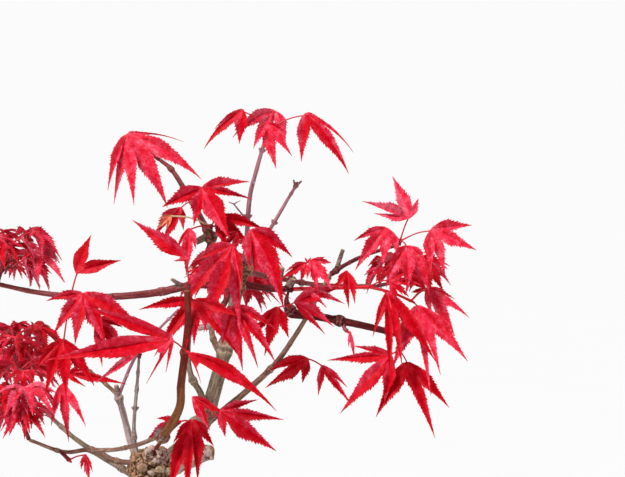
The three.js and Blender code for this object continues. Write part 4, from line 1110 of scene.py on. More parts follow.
class MeshPad:
    """Collects points and faces, each face with its slot, and makes one mesh object of them."""

    def __init__(self) -> None:
        """Starts empty."""
        self.points: list[tuple[float, float, float]] = []
        self.marks: list[tuple[float, float]] = []
        self.faces: list[tuple[int, ...]] = []
        self.slots: list[int] = []

    def point(self, spot: Vector, mark: tuple[float, float] = (0.0, 0.0)) -> int:
        """Adds a point in millimetres, with its UV mark, and gives its number."""
        self.points.append((spot[0] * MM, spot[1] * MM, spot[2] * MM))
        self.marks.append(mark)
        return len(self.points) - 1

    def face(self, corners: Sequence[int], slot: int) -> None:
        """Adds a face."""
        self.faces.append(tuple(corners))
        self.slots.append(slot)

    def bands(self, rows: Sequence[Sequence[int]], slot: int, turned: bool = False,
              closed: bool = False) -> None:
        """Joins rows of points by faces; a row of one point makes a fan.

        Args:
            rows: the rows, each of one point or of the same number.
            slot: the faces' material slot.
            turned: whether the faces look the other way.
            closed: whether each row is a ring.
        """
        for low, high in zip(rows, rows[1:]):
            width = max(len(low), len(high))
            steps = range(width if closed else width - 1)
            for c in steps:
                n = (c + 1) % width
                corners = [low[c if len(low) > 1 else 0], high[c if len(high) > 1 else 0],
                           high[n if len(high) > 1 else 0], low[n if len(low) > 1 else 0]]
                corners = list(dict.fromkeys(corners))
                if len(corners) > 2:
                    self.face(corners[::-1] if turned else corners, slot)

    def tube(self, points: Sequence[Vector], radii: Sequence[float], sides: int, slot: int) -> None:
        """Adds a closed tube along points.

        Args:
            points: the middle line.
            radii: the radius at each point.
            sides: the number of sides.
            slot: the material slot.
        """
        rows = []
        for (_, normal, binormal), middle, radius in zip(frames_along(points), points, radii):
            ring = []
            for k in range(sides):
                angle = 2 * math.pi * k / sides
                ring.append(self.point(middle + (normal * math.cos(angle) + binormal * math.sin(angle)) * radius))
            rows.append(ring)
        self.bands(rows, slot, turned=True, closed=True)
        self.face(rows[0], slot)
        self.face(rows[-1][::-1], slot)

    def object(self, name: str) -> bpy.types.Object:
        """Makes the mesh object and links it to the scene."""
        mesh = bpy.data.meshes.new(name)
        mesh.from_pydata(self.points, [], self.faces)
        mesh.polygons.foreach_set("material_index", self.slots)
        layer = mesh.uv_layers.new(name="veins")
        corners = np.zeros(len(mesh.loops), np.int32)
        mesh.loops.foreach_get("vertex_index", corners)
        layer.data.foreach_set("uv", np.array(self.marks, np.float32)[corners].ravel())
        mesh.update()
        piece = bpy.data.objects.new(name, mesh)
        bpy.context.scene.collection.objects.link(piece)
        return piece


# Leaves


@dataclass(frozen=True)
class Blade:
    """A leaf's blade in space: where its stalk meets it, the way it points and its upper side."""

    base: Vector
    ahead: Vector
    side: Vector
    size: float
    lobes: Sequence[float]
    longest: float
    fall: float
    droop: float
    width: float
    tilt: float
    tint: Tint | None = None
    slim: float = 1.0
    teeth: float = 1.0
    longs: Sequence[float] = ()
    slims: Sequence[float] = ()

    WIDEST = 0.42
    NOTCH = 0.19
    HEEL = 0.07
    HEEL_TURN = 42.0
    STAGGER = 6.0
    SLIM = 0.72

    @classmethod
    def of(cls, leaf: Leaf, seen: bool = True) -> "Blade":
        """Gives the blade of a listed leaf: it faces the viewer.

        Args:
            leaf: its table.
            seen: whether it is drawn as it is seen, or lies as its solid does.

        Returns:
            The blade.
        """
        lobes = sorted(leaf.lobes)
        longest = (lobes[0] + lobes[-1]) / 2 if leaf.longest is None else leaf.longest
        x, z = leaf.x, leaf.z
        if seen:
            x, z = x + leaf.shift[0], z + leaf.shift[1]
            lobes = [lobe + turn for lobe, turn in zip(lobes, leaf.turns or [0.0] * len(lobes))]
        return cls(VIEW.place((x, z, leaf.depth)), Vector((1, 0, 0)), Vector((0, 0, 1)),
                   leaf.size * (1 + leaf.depth / VIEW.distance), lobes, longest, leaf.fall, leaf.droop,
                   leaf.width, leaf.tilt, leaf.tint, 1.0, leaf.teeth, leaf.longs if seen else (), leaf.slims)

    @property
    def up(self) -> Vector:
        """The way that the blade's upper side faces."""
        return self.ahead.cross(self.side)

    def across(self, turn: float) -> Vector:
        """Gives the way across a lobe, counterclockwise."""
        angle = math.radians(turn)
        return self.side * math.cos(angle) - self.ahead * math.sin(angle)

    def lean(self, turn: float) -> float:
        """Gives how far a lobe leans off the blade's plane, in degrees."""
        return -self.tilt * math.sin(math.radians(turn))

    def lobe_length(self, turn: float) -> float:
        """Gives how long a lobe is, in millimetres."""
        furthest = max(abs(lobe - self.longest) for lobe in self.lobes)
        off = min(1.0, abs(turn - self.longest) / furthest)
        long = float(np.interp(turn, self.lobes, self.longs)) if self.longs else 1.0
        return self.size * long * (1 - self.fall * off * off) / math.cos(math.radians(self.lean(turn)))

    def half_width(self, i: int, way: int) -> float:
        """Gives how far one edge of a lobe stands off its rib, no further than the notch beside it."""
        gap = abs(self.lobes[i + way] - self.lobes[i]) if 0 <= i + way < len(self.lobes) else 180.0
        share = self.width * self.SLIM * self.slim * (self.slims[i] if self.slims else 1.0)
        if gap < 90:
            share = min(share, 0.92 * self.WIDEST * math.tan(math.radians(gap / 2)))
        return share * self.lobe_length(self.lobes[i])

    def point(self, turn: float, u: float, w: float = 0.0, forward: float = 0.0, roll: float = 0.0,
              lift: float = 0.0, fold: float = 0.4) -> Vector:
        """Gives a point of the blade.

        Args:
            turn: the way that the point's lobe sets out, in degrees.
            u: the share of the lobe's length.
            w: millimetres off its rib.
            forward: degrees towards the upper side.
            roll: radians that the lobe is rolled about its rib.
            lift: millimetres towards the upper side.
            fold: how steeply the lobe's two sides fold up from the rib.

        Returns:
            The point in millimetres.
        """
        angle = math.radians(turn)
        lean = math.radians(self.lean(turn) + forward)
        up = self.up
        flat = self.ahead * math.cos(angle) + self.side * math.sin(angle)
        out = flat * math.cos(lean) + up * math.sin(lean)
        across = self.across(turn)
        down = out * out.z - UP
        length = self.lobe_length(turn)
        spot = self.base + out * (length * u * (1 - 0.25 * self.droop * u))
        spot += down * (length * self.droop * u * u)
        spot += across * (w * math.cos(roll))
        return spot + up * (fold * abs(w) + w * math.sin(roll) + lift)

    def samples(self) -> list[Vector]:
        """Gives points along the ribs, by which other leaves keep clear."""
        return [self.base] + [self.point(turn, u) for turn in self.lobes for u in (0.3, 0.65, 1.0)]


@dataclass(frozen=True)
class BladeDetail:
    """How finely a blade is drawn."""

    palm_rows: int = 3
    tooth: float = 1.55
    teeth: tuple[int, int] = (7, 20)
    columns: tuple[float, ...] = (0.0, 0.3, 0.68, 1.0)
    depth: float = 0.2
    deepest: float = 0.55
    lean: float = 0.8
    thickness: float = 0.24
    rib: tuple[float, float] = (0.27, 0.08)
    rib_steps: int = 7


FULL = BladeDetail()
SMALL = BladeDetail(palm_rows=2, tooth=2.6, teeth=(4, 7), columns=(0.0, 0.5, 1.0), rib_steps=5)


class LeafBunch:
    """The blades of one mass, with toothed edges and raised ribs."""

    RIB_SLOT = 2 * len(Tint)
    RIB_SIDES = 4
    SHARP = 42.0
    LIGHT = Vector((-0.6, -0.3, 0.74))
    SHARES = ((0.46, Tint.CRIMSON), (0.7, Tint.SCARLET), (0.9, Tint.DARK), (1.0, Tint.ROSE))
    ROLL, TWIST = 9.0, 24.0  # degrees that a blade and each of its lobes are turned about the rib
    ROUND = 6.28
    SWING, FOLD = (0.08, 0.24), (0.6, 1.15)
    RIB_END = 0.94
    VEIN = 2.2  # millimetres from one side vein to the next
    TOOTH_TIP = 0.62  # where a tooth is highest, as a share of its length

    def __init__(self, seed: int) -> None:
        """Starts with no blades.

        Args:
            seed: what the small differences between leaves are drawn from.
        """
        self.sheet = MeshPad()
        self.ribs = MeshPad()
        self.random = SeededNumbers(seed * 7919 + 13)

    def add(self, blade: Blade, detail: BladeDetail = FULL) -> None:
        """Adds a blade.

        Args:
            blade: the blade.
            detail: how finely it is drawn.
        """
        tint = blade.tint or self._tint()
        roll = math.radians(self.random.between((-self.ROLL, self.ROLL)))
        for i, turn in enumerate(blade.lobes):
            forward = (-1 if i % 2 else 1) * blade.STAGGER
            twist = roll + math.radians(self.random.between((-self.TWIST, self.TWIST)))
            wave = (self.random() * self.ROUND, self.random.between(self.SWING), self.random.between(self.FOLD))
            for way in (-1, 1):
                # Painted shade: the half of the lobe that faces LIGHT takes the leaf's tint, and the other half takes
                # the darker SHADED tint.
                lit = blade.across(turn).dot(self.LIGHT) * way > 0
                self._half(blade, detail, i, way, forward, twist, wave, (tint if lit else SHADED[tint]).value)
            length = blade.lobe_length(turn)
            us = [k / detail.rib_steps * self.RIB_END for k in range(detail.rib_steps + 1)]
            radii = [detail.rib[0] + (detail.rib[1] - detail.rib[0]) * u for u in us]
            radii = [r * min(1.0, 0.55 + length / 60) for r in radii]
            middles = [blade.point(turn, u, 0, forward) for u in us]
            self.ribs.tube(middles, radii, self.RIB_SIDES, self.RIB_SLOT)

    def _tint(self) -> Tint:
        """Draws a leaf's colour."""
        draw = self.random()
        return next(tint for limit, tint in self.SHARES if draw < limit)

    def _half(self, blade: Blade, detail: BladeDetail, i: int, way: int, forward: float, twist: float,
              wave: tuple[float, float, float], slot: int) -> None:
        """Adds the part of a lobe on one side of its rib, from the blade's base to the tip."""
        turn = blade.lobes[i]
        length = blade.lobe_length(turn)
        inner = 0 <= i + way < len(blade.lobes)
        beside = (blade.lobes[i + way] + turn) / 2 if inner else turn + way * blade.HEEL_TURN
        sinus = blade.NOTCH if inner else blade.HEEL
        apart = math.radians(abs(beside - turn))
        reach = blade.lobe_length(beside) * sinus
        start = math.cos(apart) * reach / length
        first = math.sin(apart) * reach
        widest = blade.half_width(i, way)
        rows: list[list[int]] = [[self.sheet.point(blade.base)]]

        def add_row(rib: Vector, edge: Vector, lift: float, along: float, w: float) -> None:
            """Adds a row of points from the rib to the edge, arched by lift."""
            row = []
            for share in detail.columns:
                spot = rib.lerp(edge, share) + blade.up * (lift * math.sin(math.pi * share))
                row.append(self.sheet.point(spot, ((along - w * share) / self.VEIN, share)))
            rows.append(row)

        for k in range(1, detail.palm_rows + 1):
            share = k / detail.palm_rows
            edge = blade.point(beside, sinus * share, 0, 0, 0, 0.12 * first * share)
            add_row(blade.point(turn, start * share, 0, forward), edge, 0.05 * first * share,
                    start * share * length, first * share)

        def spread(u: float) -> float:
            """Gives the half width of the lobe at a share u of its length."""
            if u < blade.WIDEST:
                t = max(0.0, (u - start) / (blade.WIDEST - start))
                return first + (widest - first) * (1 - (1 - t) ** 2)
            s = (u - blade.WIDEST) / (1 - blade.WIDEST)
            return widest * (0.94 * (1 - s) ** 1.4 + 0.06 * (1 - s) ** 0.3)

        low, high = detail.teeth
        teeth = max(low, min(high, round((1 - start) * length / detail.tooth)))
        step = (1 - start) / teeth
        phase, swing, fold = wave
        bite = detail.depth * blade.teeth
        for k in range(teeth):
            for tip in (False, True):
                if k == 0 and not tip:
                    continue
                u = start + (k + (self.TOOTH_TIP if tip else 0.0)) * step
                fade = min(1.0, 4 * (1 - u) + 0.25) * (1.25 if k % 3 == 1 else 0.85)
                w = spread(u)
                w += min(detail.deepest, bite * w) * (fade if tip else -0.5)
                ahead = detail.lean * step * fade if tip else 0.0
                roll = twist * min(1.0, u * 1.4)
                ripple = swing * w * math.sin(phase + 9.0 * u + (1.3 if way > 0 else 0.0))
                rib = blade.point(turn, u, 0, forward)
                edge = blade.point(turn, min(0.99, u + ahead), way * w, forward, roll, ripple, fold)
                add_row(rib, edge, 0.1 * w, u * length, w)
        rows.append([self.sheet.point(blade.point(turn, 1.0, 0, forward), (length / self.VEIN, 0.5))])
        self.sheet.bands(rows, slot, turned=way < 0)

    def build(self, name: str, book: FinishBook) -> bpy.types.Object:
        """Makes the bunch's piece, with a thin shell for each blade.

        Args:
            name: the piece's name.
            book: where its finishes come from.

        Returns:
            The piece.
        """
        skin = self.sheet.object(name)
        ribs = self.ribs.object(name + "_ribs")
        for piece in (skin, ribs):
            book.dress(piece, [LEAF_SKINS[tint] for tint in Tint] + [LEAF_UNDERSIDES[tint] for tint in Tint]
                       + [RIB_SKIN])
        finish_with(skin, "SOLIDIFY", thickness=FULL.thickness * MM, offset=0.0,
                    material_offset=len(Tint), use_even_offset=False)
        piece = joined([skin, ribs], name)
        smooth_by_angle(piece, self.SHARP)
        return piece


class TwigBunch:
    """The twigs and leaf stalks of one mass."""

    TWIG_SLOT, STALK_SLOT, SHOOT_SLOT, PALE_SLOT = 0, 1, 2, 3
    STEP = 2.5  # millimetres from one ring of points to the next
    TWIG_SIDES, STALK_SIDES = 7, 6
    NODE = (1.1, 1.35)  # how far a twig's last two rings are swollen
    ARCH = 0.07  # how far a stalk's middle rises, as a share of its length
    STALK, STALK_THINNING, STALK_SWELL = 0.55, 0.17, 0.12

    def __init__(self) -> None:
        """Starts with no twigs."""
        self.pad = MeshPad()

    def twig(self, points: Sequence[Vector], radii: tuple[float, float], red: bool = False) -> None:
        """Adds a twig with a ringed node at its tip.

        Args:
            points: its path.
            radii: its radius at foot and tip.
            red: whether it is a shoot of this year.
        """
        middles = self._along(points)
        steps = len(middles) - 1
        sizes = [radii[0] + (radii[1] - radii[0]) * i / steps for i in range(steps + 1)]
        sizes[-2] *= self.NODE[0]
        sizes[-1] *= self.NODE[1]
        self.pad.tube(middles, sizes, self.TWIG_SIDES, self.SHOOT_SLOT if red else self.TWIG_SLOT)

    def _along(self, points: Sequence[Vector]) -> list[Vector]:
        """Gives the rings' middles along a smooth path."""
        curve = PathCurve(points)
        return curve.spaced(max(4, round(curve.length / self.STEP)))

    def stalk(self, start: Vector, blade: Blade) -> None:
        """Adds a leaf's stalk, arched a little, from a twig's tip into the blade."""
        end = blade.point(blade.longest, 0.04)
        middle = start.lerp(end, 0.55) + UP * ((end - start).length * self.ARCH)
        middles = self._along([start, middle, end])
        steps = len(middles) - 1
        sizes = [self.STALK - self.STALK_THINNING * min(1.0, 3 * i / steps)
                 + (self.STALK_SWELL if i == steps else 0.0) for i in range(steps + 1)]
        slot = self.PALE_SLOT if blade.tint is Tint.APRICOT else self.STALK_SLOT
        self.pad.tube(middles, sizes, self.STALK_SIDES, slot)

    def bud(self, spot: Vector, way: Vector, size: float) -> None:
        """Adds a pointed bud."""
        points = [spot + way * (size * t) for t in (0.0, 0.3, 0.7, 1.0)]
        radii = [share * size for share in (0.22, 0.34, 0.22, 0.04)]
        self.pad.tube(points, radii, self.STALK_SIDES, self.STALK_SLOT)

    def build(self, name: str, book: FinishBook) -> bpy.types.Object:
        """Makes the bunch's piece."""
        piece = self.pad.object(name)
        book.dress(piece, [TWIG_SKIN, STALK_SKIN, SHOOT_SKIN, PALE_STALK_SKIN])
        smooth_by_angle(piece, 50.0)
        return piece


@dataclass
class Clearance:
    """The points that are taken, and how far others stay from each."""

    spots: list[tuple[float, float, float]] = field(default_factory=list)
    rooms: list[float] = field(default_factory=list)

    def take(self, points: Iterable[Vector], room: float) -> None:
        """Marks points as taken."""
        for point in points:
            self.spots.append(tuple(point))
            self.rooms.append(room)

    def fits(self, points: Sequence[Vector], mass: GrownMass, room: float | None = None) -> bool:
        """Tells whether points stay in a mass's space and clear of all that is taken.

        Args:
            points: the points.
            mass: whose space they stay in.
            room: the clearance, where it is less than each taken point's own.

        Returns:
            True where they fit.
        """
        spots, rooms = np.array(self.spots), np.array(self.rooms)
        if room is not None:
            rooms = np.minimum(rooms, room)
        for point in points:
            away = [(v - h) / r for v, h, r in zip(VIEW.seen(point), mass.heart, mass.reach)]
            if math.hypot(*away) > 1 or (np.linalg.norm(spots - np.array(point), axis=1) <= rooms).any():
                return False
        return True


class Foliage:
    """One foliage mass: its twigs and its leaves, which stand for one solid of the part."""

    SMALLEST_FULL = 14.0  # millimetres above which a leaf is drawn in full
    BUD = 2.4
    FINER_SEED = 1000
    FEET = ((0.3, -1), (0.45, 1), (0.7, -1), (0.85, 1), (1.0, 0.4))  # finer twigs: where, and to which side
    SIDEWAYS = (45.0, 95.0)
    FINER_FORK = (-58, 58)

    def __init__(self, name: str, seed: int) -> None:
        """Starts the mass.

        Args:
            name: the solid that it stands for.
            seed: what its leaves' small differences are drawn from.
        """
        self.name = name
        self.leaves = LeafBunch(seed)
        self.twigs = TwigBunch()

    def lay(self, spray: Spray, root: Vector) -> None:
        """Lays out a listed mass.

        Args:
            spray: its table.
            root: where its stem starts.
        """
        for i, twig in enumerate(spray.twigs):
            points = [VIEW.place(spot) for spot in twig.path]
            if i == 0:
                points[0] = root
            radius = GROWTH.stem_radius if i == 0 else GROWTH.twig_radius
            if (points[0] - points[1]).length > 0.5:
                self.twigs.twig(points, (radius, radius * GROWTH.taper), red=spray.name == "foliage_red_shoot")
            for leaf in twig.leaves:
                blade = Blade.of(leaf)
                self.twigs.stalk(points[-1], blade)
                self.leaves.add(blade, FULL if blade.size > self.SMALLEST_FULL else SMALL)
            self.twigs.bud(points[-1], (points[-1] - points[-2]).normalized(), self.BUD)

    def grow(self, mass: GrownMass, root: Vector, taken: Clearance) -> list[tuple[Vector, Vector, float]]:
        """Grows a mass by the part's own rule.

        Args:
            mass: its table.
            root: where its stem starts.
            taken: what it keeps clear of, to which it is added.

        Returns:
            The start, tip and heading of each side twig.
        """
        random = SeededNumbers(mass.seed)
        heart = VIEW.place(mass.heart)
        self.twigs.twig([root, root.lerp(heart, 0.5), heart], (GROWTH.stem_radius, GROWTH.twig_radius))
        grown_twigs = []
        for k in range(mass.twigs):
            start = root.lerp(heart, GROWTH.start + (1 - GROWTH.start) * (k + 1) / mass.twigs)
            rises = GROWTH.last_rise if k == mass.twigs - 1 else GROWTH.rise
            for attempt in range(GROWTH.attempts):
                stray = (random() - 0.5) * GROWTH.jitter * (attempt + 1)
                heading = math.radians(mass.seed + k * GROWTH.golden + stray)
                rise = math.radians(random.between(rises))
                length = min(mass.reach) * random.between(GROWTH.length)
                tip = start + direction(heading, rise) * length
                blades = [grown_blade(tip, heading + math.radians(turn * GROWTH.fork), random, GROWTH)
                          for turn in (0, -1, 1)]
                blades = [blade for blade in blades if taken.fits(blade.samples(), mass)]
                if len(blades) > 1 or (blades and attempt > GROWTH.attempts / 2):
                    self._set(start, tip, blades, GROWTH, FULL, taken)
                    grown_twigs.append((start, tip, heading))
                    break
        return grown_twigs

    def _set(self, start: Vector, tip: Vector, blades: Sequence[Blade], rule: Growth,
             detail: BladeDetail, taken: Clearance) -> None:
        """Adds a side twig and its leaves, and marks their space as taken."""
        middle = start.lerp(tip, 0.5) + UP * rule.arch
        self.twigs.twig([start, middle, tip], (rule.twig_radius, rule.twig_radius * rule.taper))
        for blade in blades:
            self.twigs.stalk(tip, blade)
            self.leaves.add(blade, detail)
            taken.take(blade.samples(), rule.room)
        taken.take([middle, tip], rule.room)

    def refine(self, mass: GrownMass, grown: Sequence[tuple[Vector, Vector, float]],
               taken: Clearance) -> None:
        """Carries a grown mass on to finer twigs with smaller leaves, inside the same reach.

        Args:
            mass: its table.
            grown: the start, tip and heading of its side twigs.
            taken: what the finer twigs keep clear of.
        """
        random = SeededNumbers(mass.seed + self.FINER_SEED)
        for start, tip, heading in grown:
            for share, turn in self.FEET:
                foot = start.lerp(tip, share) + UP * (GROWTH.arch * 4 * share * (1 - share))
                for _ in range(FINER.attempts):
                    way = heading + math.radians(turn * random.between(self.SIDEWAYS))
                    rise = math.radians(random.between(FINER.rise))
                    end = foot + direction(way, rise) * (min(mass.reach) * random.between(FINER.length))
                    blades = [grown_blade(end, way + math.radians(fork), random, FINER)
                              for fork in self.FINER_FORK]
                    blades = [b for b in blades if taken.fits(b.samples(), mass, FINER.room)]
                    if blades:
                        self._set(foot, end, blades, FINER, SMALL, taken)
                        break

    def build(self, book: FinishBook) -> list[bpy.types.Object]:
        """Makes the mass's two pieces and puts them in place of its solid."""
        stem = self.name.removeprefix("foliage_")
        leaves = self.leaves.build(stem + "_leaves", book)
        twigs = self.twigs.build(stem + "_twigs", book)
        for piece, slot in ((leaves, "leaf"), (twigs, "young_bark")):
            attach(piece, "root")
            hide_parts(self.name)
        return [leaves, twigs]


def grown_blade(tip: Vector, heading: float, random: SeededNumbers, rule: Growth) -> Blade:
    """Makes the blade of a leaf that slopes down and outwards at the end of a stalk.

    Args:
        tip: the tip of its twig.
        heading: the way that its stalk leaves, in radians.
        random: where its sizes are drawn from.
        rule: the rule that it grows by.

    Returns:
        The blade.
    """
    stalk = direction(heading, math.radians(rule.stalk_rise)) * random.between(rule.stalk)
    size = random.between(rule.size)
    ahead = direction(heading, -math.radians(random.between(rule.dip)))
    side = Vector((-math.sin(heading), math.cos(heading), 0.0))
    return Blade(tip + stalk, ahead, side, size, rule.fan, 0.0, rule.fall, rule.droop, rule.width, 0.0,
                 slim=rule.slim)


# Limbs


class LimbPiece:
    """The trunk or a bough as one body with bark relief."""

    KNOB_STRETCH = 1.1
    LARGE_KNOB = 3.3  # millimetres from which a knob is old, crowded with lumps and healed over
    CALLUS, RING, STUB = 1, 3, 4  # slots after the bark's own
    COLLAR, NECK = 9.0, 12.0  # millimetres over which a limb's foot is thickened, or thinned to its neck
    BUD, BUD_SPACE, BUD_LIMB = 2.1, 17.0, 1.75  # a bud's size, the way to the next, the thickest limb with them
    WART = (0.22, 0.4)  # a lump's size as a share of its knob's
    CHUNK = 4000  # points measured against the limb's line at once
    HOLLOW = 0.12  # millimetres of depth at which the painted shade of a hollow is darkest
    CALM_ROUNDS = 5
    STUB_END = 2
    STUB_SKIN = DEAD_SKIN
    THIN_STUB = 3.0
    RAGGED = 1.1

    def __init__(self, limb: Limb) -> None:
        """Measures the limb.

        Args:
            limb: its table.
        """
        self.limb = limb
        self.curve = PathCurve([VIEW.place(spot) for spot in limb.path])
        self.look = LOOKS[limb.name]

    def knob_half(self, radius: float) -> float:
        """Gives half a knob's length, as a share of the limb's."""
        return self.KNOB_STRETCH * radius / self.curve.length

    def grown_knob(self, at: float, knob: float) -> float:
        """Gives the radius of a knob at a share of the length, slimmed as its limb is."""
        return knob * (1 + self.look.slim) / 2 if knob > self.LARGE_KNOB else knob * self.look.slim

    def radius_at(self, share: float) -> float:
        """Gives the limb's radius at a share of its length, with its knobs."""
        radius = self.stem_radius(share)
        swelling = 0.0
        for at, knob in self.limb.knobs:
            near = max(0.0, 1 - abs(share - at) / self.knob_half(knob))
            swelling = max(swelling, (self.grown_knob(at, knob) - radius) * near * near * (3 - 2 * near))
        return radius + swelling + self.extra_radius(share)

    def stem_radius(self, share: float) -> float:
        """Gives the limb's radius at a share of its length, without knobs and nodes."""
        foot, tip = self.limb.r
        away = min(1.0, share * self.curve.length / self.NECK)
        neck = self.look.neck + (1 - self.look.neck) * away * away * (3 - 2 * away)
        return (foot + (tip - foot) * share) * self.look.slim * neck

    def rings(self) -> list[tuple[float, float]]:
        """Gives the ringed nodes, each a share of its length and a radius."""
        return [(share, self.radius_without_nodes(share)) for share in self.look.rings]

    def radius_without_nodes(self, share: float) -> float:
        """Gives the radius that a node's size is taken from."""
        return self.stem_radius(share) * 1.2

    def extra_radius(self, share: float) -> float:
        """Gives what a limb's collar and nodes add to its radius at a share of its length."""
        node = 0.0
        for at, radius in self.rings():
            off = abs(share - at) * self.curve.length / radius
            node = max(node, 0.24 * radius * max(0.0, 1 - (off / 1.2) ** 2) * (0.7 if off < 0.25 else 1.0))
        away = share * self.curve.length / self.COLLAR
        if away > 1 or self.look.neck < 1:
            return node
        return max(node, 0.2 * self.stem_radius(0.0) * (1 - away) ** 2)

    def warts(self) -> list[tuple[Vector, float]]:
        """Gives the middle and size of the round lumps that crowd a large old knob."""
        random = SeededNumbers(len(self.limb.name) * 101 + round(self.curve.length))
        out = []
        for at, knob in self.limb.knobs:
            if knob < self.LARGE_KNOB or not self.look.gnarled:
                continue
            centre, radius = self.curve.point_at(at), self.radius_at(at)
            for _ in range(round(5 + 0.7 * knob)):
                way = direction(random() * 2 * math.pi, math.asin(2 * random() - 1))
                size = random.between(self.WART) * knob
                out.append((centre + way * (radius * random.between((0.55, 0.85))), size))
        return out

    @property
    def voxel(self) -> float:
        """The grid that the limb's parts are melted together on, in millimetres."""
        return min(0.6, max(0.28, 0.24 * self.limb.r[1] * self.look.slim))

    def _sketch(self) -> bpy.types.Object:
        """Draws the limb, its stubs and its buds as round lines."""
        data = bpy.data.curves.new(self.limb.name, "CURVE")
        data.dimensions = "3D"
        data.bevel_depth = MM
        data.bevel_resolution = 5
        data.use_fill_caps = True
        steps = max(8, round(self.curve.length))
        shares = [i / steps for i in range(steps + 1)]
        self._line(data, [self.curve.point_at(s) for s in shares], [self.radius_at(s) for s in shares])
        for stub in self.limb.stubs:
            start, end = self.curve.point_at(stub.at), VIEW.place(stub.end)
            count = max(3, round((end - start).length / 1.5))
            shares = [i / count for i in range(count + 1)]
            self._line(data, [start.lerp(end, s) for s in shares],
                       [stub.r[0] + (stub.r[1] - stub.r[0]) * s for s in shares])
            for fork in stub.forks:
                self._line(data, [end, end.lerp(VIEW.place(fork), 0.5), VIEW.place(fork)],
                           [stub.r[1], stub.r[1] * 0.9, stub.r[1] * 0.75])
        for spot, size in self.warts():
            self._line(data, [spot - UP * size * 0.8, spot - UP * size * 0.3, spot + UP * size * 0.3,
                              spot + UP * size * 0.8], [0.5 * size, size, size, 0.5 * size])
        for spot, way, size in self.buds():
            self._line(data, [spot, spot + way * size * 0.4, spot + way * size],
                       [0.3 * size, 0.34 * size, 0.08 * size])
        piece = bpy.data.objects.new(self.limb.name, data)
        bpy.context.scene.collection.objects.link(piece)
        alone(piece)
        bpy.ops.object.convert(target="MESH")
        return bpy.context.object

    @staticmethod
    def _line(data: bpy.types.Curve, points: Sequence[Vector], radii: Sequence[float]) -> None:
        """Adds one round line to a curve."""
        spline = data.splines.new("POLY")
        spline.points.add(len(points) - 1)
        for knot, point, radius in zip(spline.points, points, radii):
            knot.co = (*(point * MM), 1.0)
            knot.radius = radius

    def buds(self) -> list[tuple[Vector, Vector, float]]:
        """Gives the foot, direction and size of each bud on a young limb."""
        if self.limb.r[0] > self.BUD_LIMB:
            return []
        points = self.curve.spaced(100)
        frames = frames_along(points)
        out = []
        count = max(1, round(self.curve.length / self.BUD_SPACE))
        for k in range(count):
            share = (k + 0.55) / count
            i = round(share * 100)
            tangent, normal, binormal = frames[i]
            angle = k * math.pi / 2 + 0.4
            sideways = normal * math.cos(angle) + binormal * math.sin(angle)
            for way in (-1, 1):
                ahead = (tangent * 1.1 + sideways * way).normalized()
                out.append((points[i] + sideways * way * self.radius_at(share) * 0.7, ahead, self.BUD))
        return out

    def build(self, book: FinishBook) -> bpy.types.Object:
        """Makes the limb's piece and puts it in place of its solid.

        Args:
            book: where its finishes come from.

        Returns:
            The piece.
        """
        piece = self._sketch()
        finish_with(piece, "REMESH", mode="VOXEL", voxel_size=self.voxel * MM, use_smooth_shade=True)
        finish_with(piece, "SMOOTH", factor=0.5, iterations=3)
        self._relief(piece)
        young = self.look.wood in (Wood.PURPLE, Wood.LILAC, Wood.DARK, Wood.RUSSET)
        book.dress(piece, [BARKS[self.look.wood], CALLUS_SKIN, CUT_SKIN, RED_RING_SKIN if young else RING_SKIN,
                           self.STUB_SKIN])
        self._share_out(piece)
        alone(piece)
        bpy.ops.object.shade_smooth()
        piece.name = piece.data.name = self.limb.name + "_bark"
        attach(piece, "root")
        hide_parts(self.limb.name)
        return piece

    def _relief(self, piece: bpy.types.Object) -> None:
        """Raises the bark's relief and marks each point with its place on the straightened limb."""
        steps = max(12, round(self.curve.length / 0.8))
        line = self.curve.spaced(steps)
        frames = frames_along(line)
        spots = np.array([tuple(point) for point in line])
        mesh = piece.data
        count = len(mesh.vertices)
        co = np.zeros(count * 3)
        mesh.vertices.foreach_get("co", co)
        co = co.reshape(-1, 3) / MM
        nearest = np.concatenate([
            ((part[:, None, :] - spots[None]) ** 2).sum(2).argmin(1)
            for part in np.array_split(co, max(1, count // self.CHUNK))])
        normals = np.zeros(count * 3)
        mesh.vertices.foreach_get("normal", normals)
        normals = normals.reshape(-1, 3)
        axes = np.array([[tuple(axis) for axis in frame] for frame in frames])
        away = co - spots[nearest]
        x = (away * axes[nearest, 1]).sum(1)
        y = (away * axes[nearest, 2]).sum(1)
        along = nearest / steps * self.curve.length + (away * axes[nearest, 0]).sum(1)
        grain = np.stack([x, y, along], 1)
        push = self.relief_of(co, grain, along / self.curve.length)
        co = co + normals * push[:, None]
        co = self.shape(co, spots[nearest], x, y)
        mesh.vertices.foreach_set("co", (co * MM).ravel())
        layer = mesh.attributes.new("grain", "FLOAT_VECTOR", "POINT")
        layer.data.foreach_set("vector", (grain * MM).astype(np.float32).ravel())
        # The hollow attribute: where the bark's painted shade and painted light go.
        layer = mesh.attributes.new("hollow", "FLOAT", "POINT")
        layer.data.foreach_set("value", self._hollows(mesh, co, normals).astype(np.float32))
        mesh.update()

    def _hollows(self, mesh: bpy.types.Mesh, co: np.ndarray, normals: np.ndarray) -> np.ndarray:
        """Gives how deep each point lies in a hollow of the bark, from -1 on a lump to 1, which sets the bark's painted
        shade and painted light.

        Args:
            mesh: the mesh.
            co: its points in millimetres.
            normals: its points' normals.

        Returns:
            The depth at each point.
        """
        ends = np.zeros(len(mesh.edges) * 2, np.int32)
        mesh.edges.foreach_get("vertices", ends)
        first, second = ends[::2], ends[1::2]
        count = np.maximum(np.bincount(ends, minlength=len(co)), 1)
        calm = co
        for _ in range(self.CALM_ROUNDS):
            total = [np.bincount(first, calm[second, k], len(co)) + np.bincount(second, calm[first, k], len(co))
                     for k in range(3)]
            calm = np.stack(total, 1) / count[:, None]
        depth = ((calm - co) * normals).sum(1)
        return np.clip((depth - np.median(depth)) / self.HOLLOW, -1, 1)

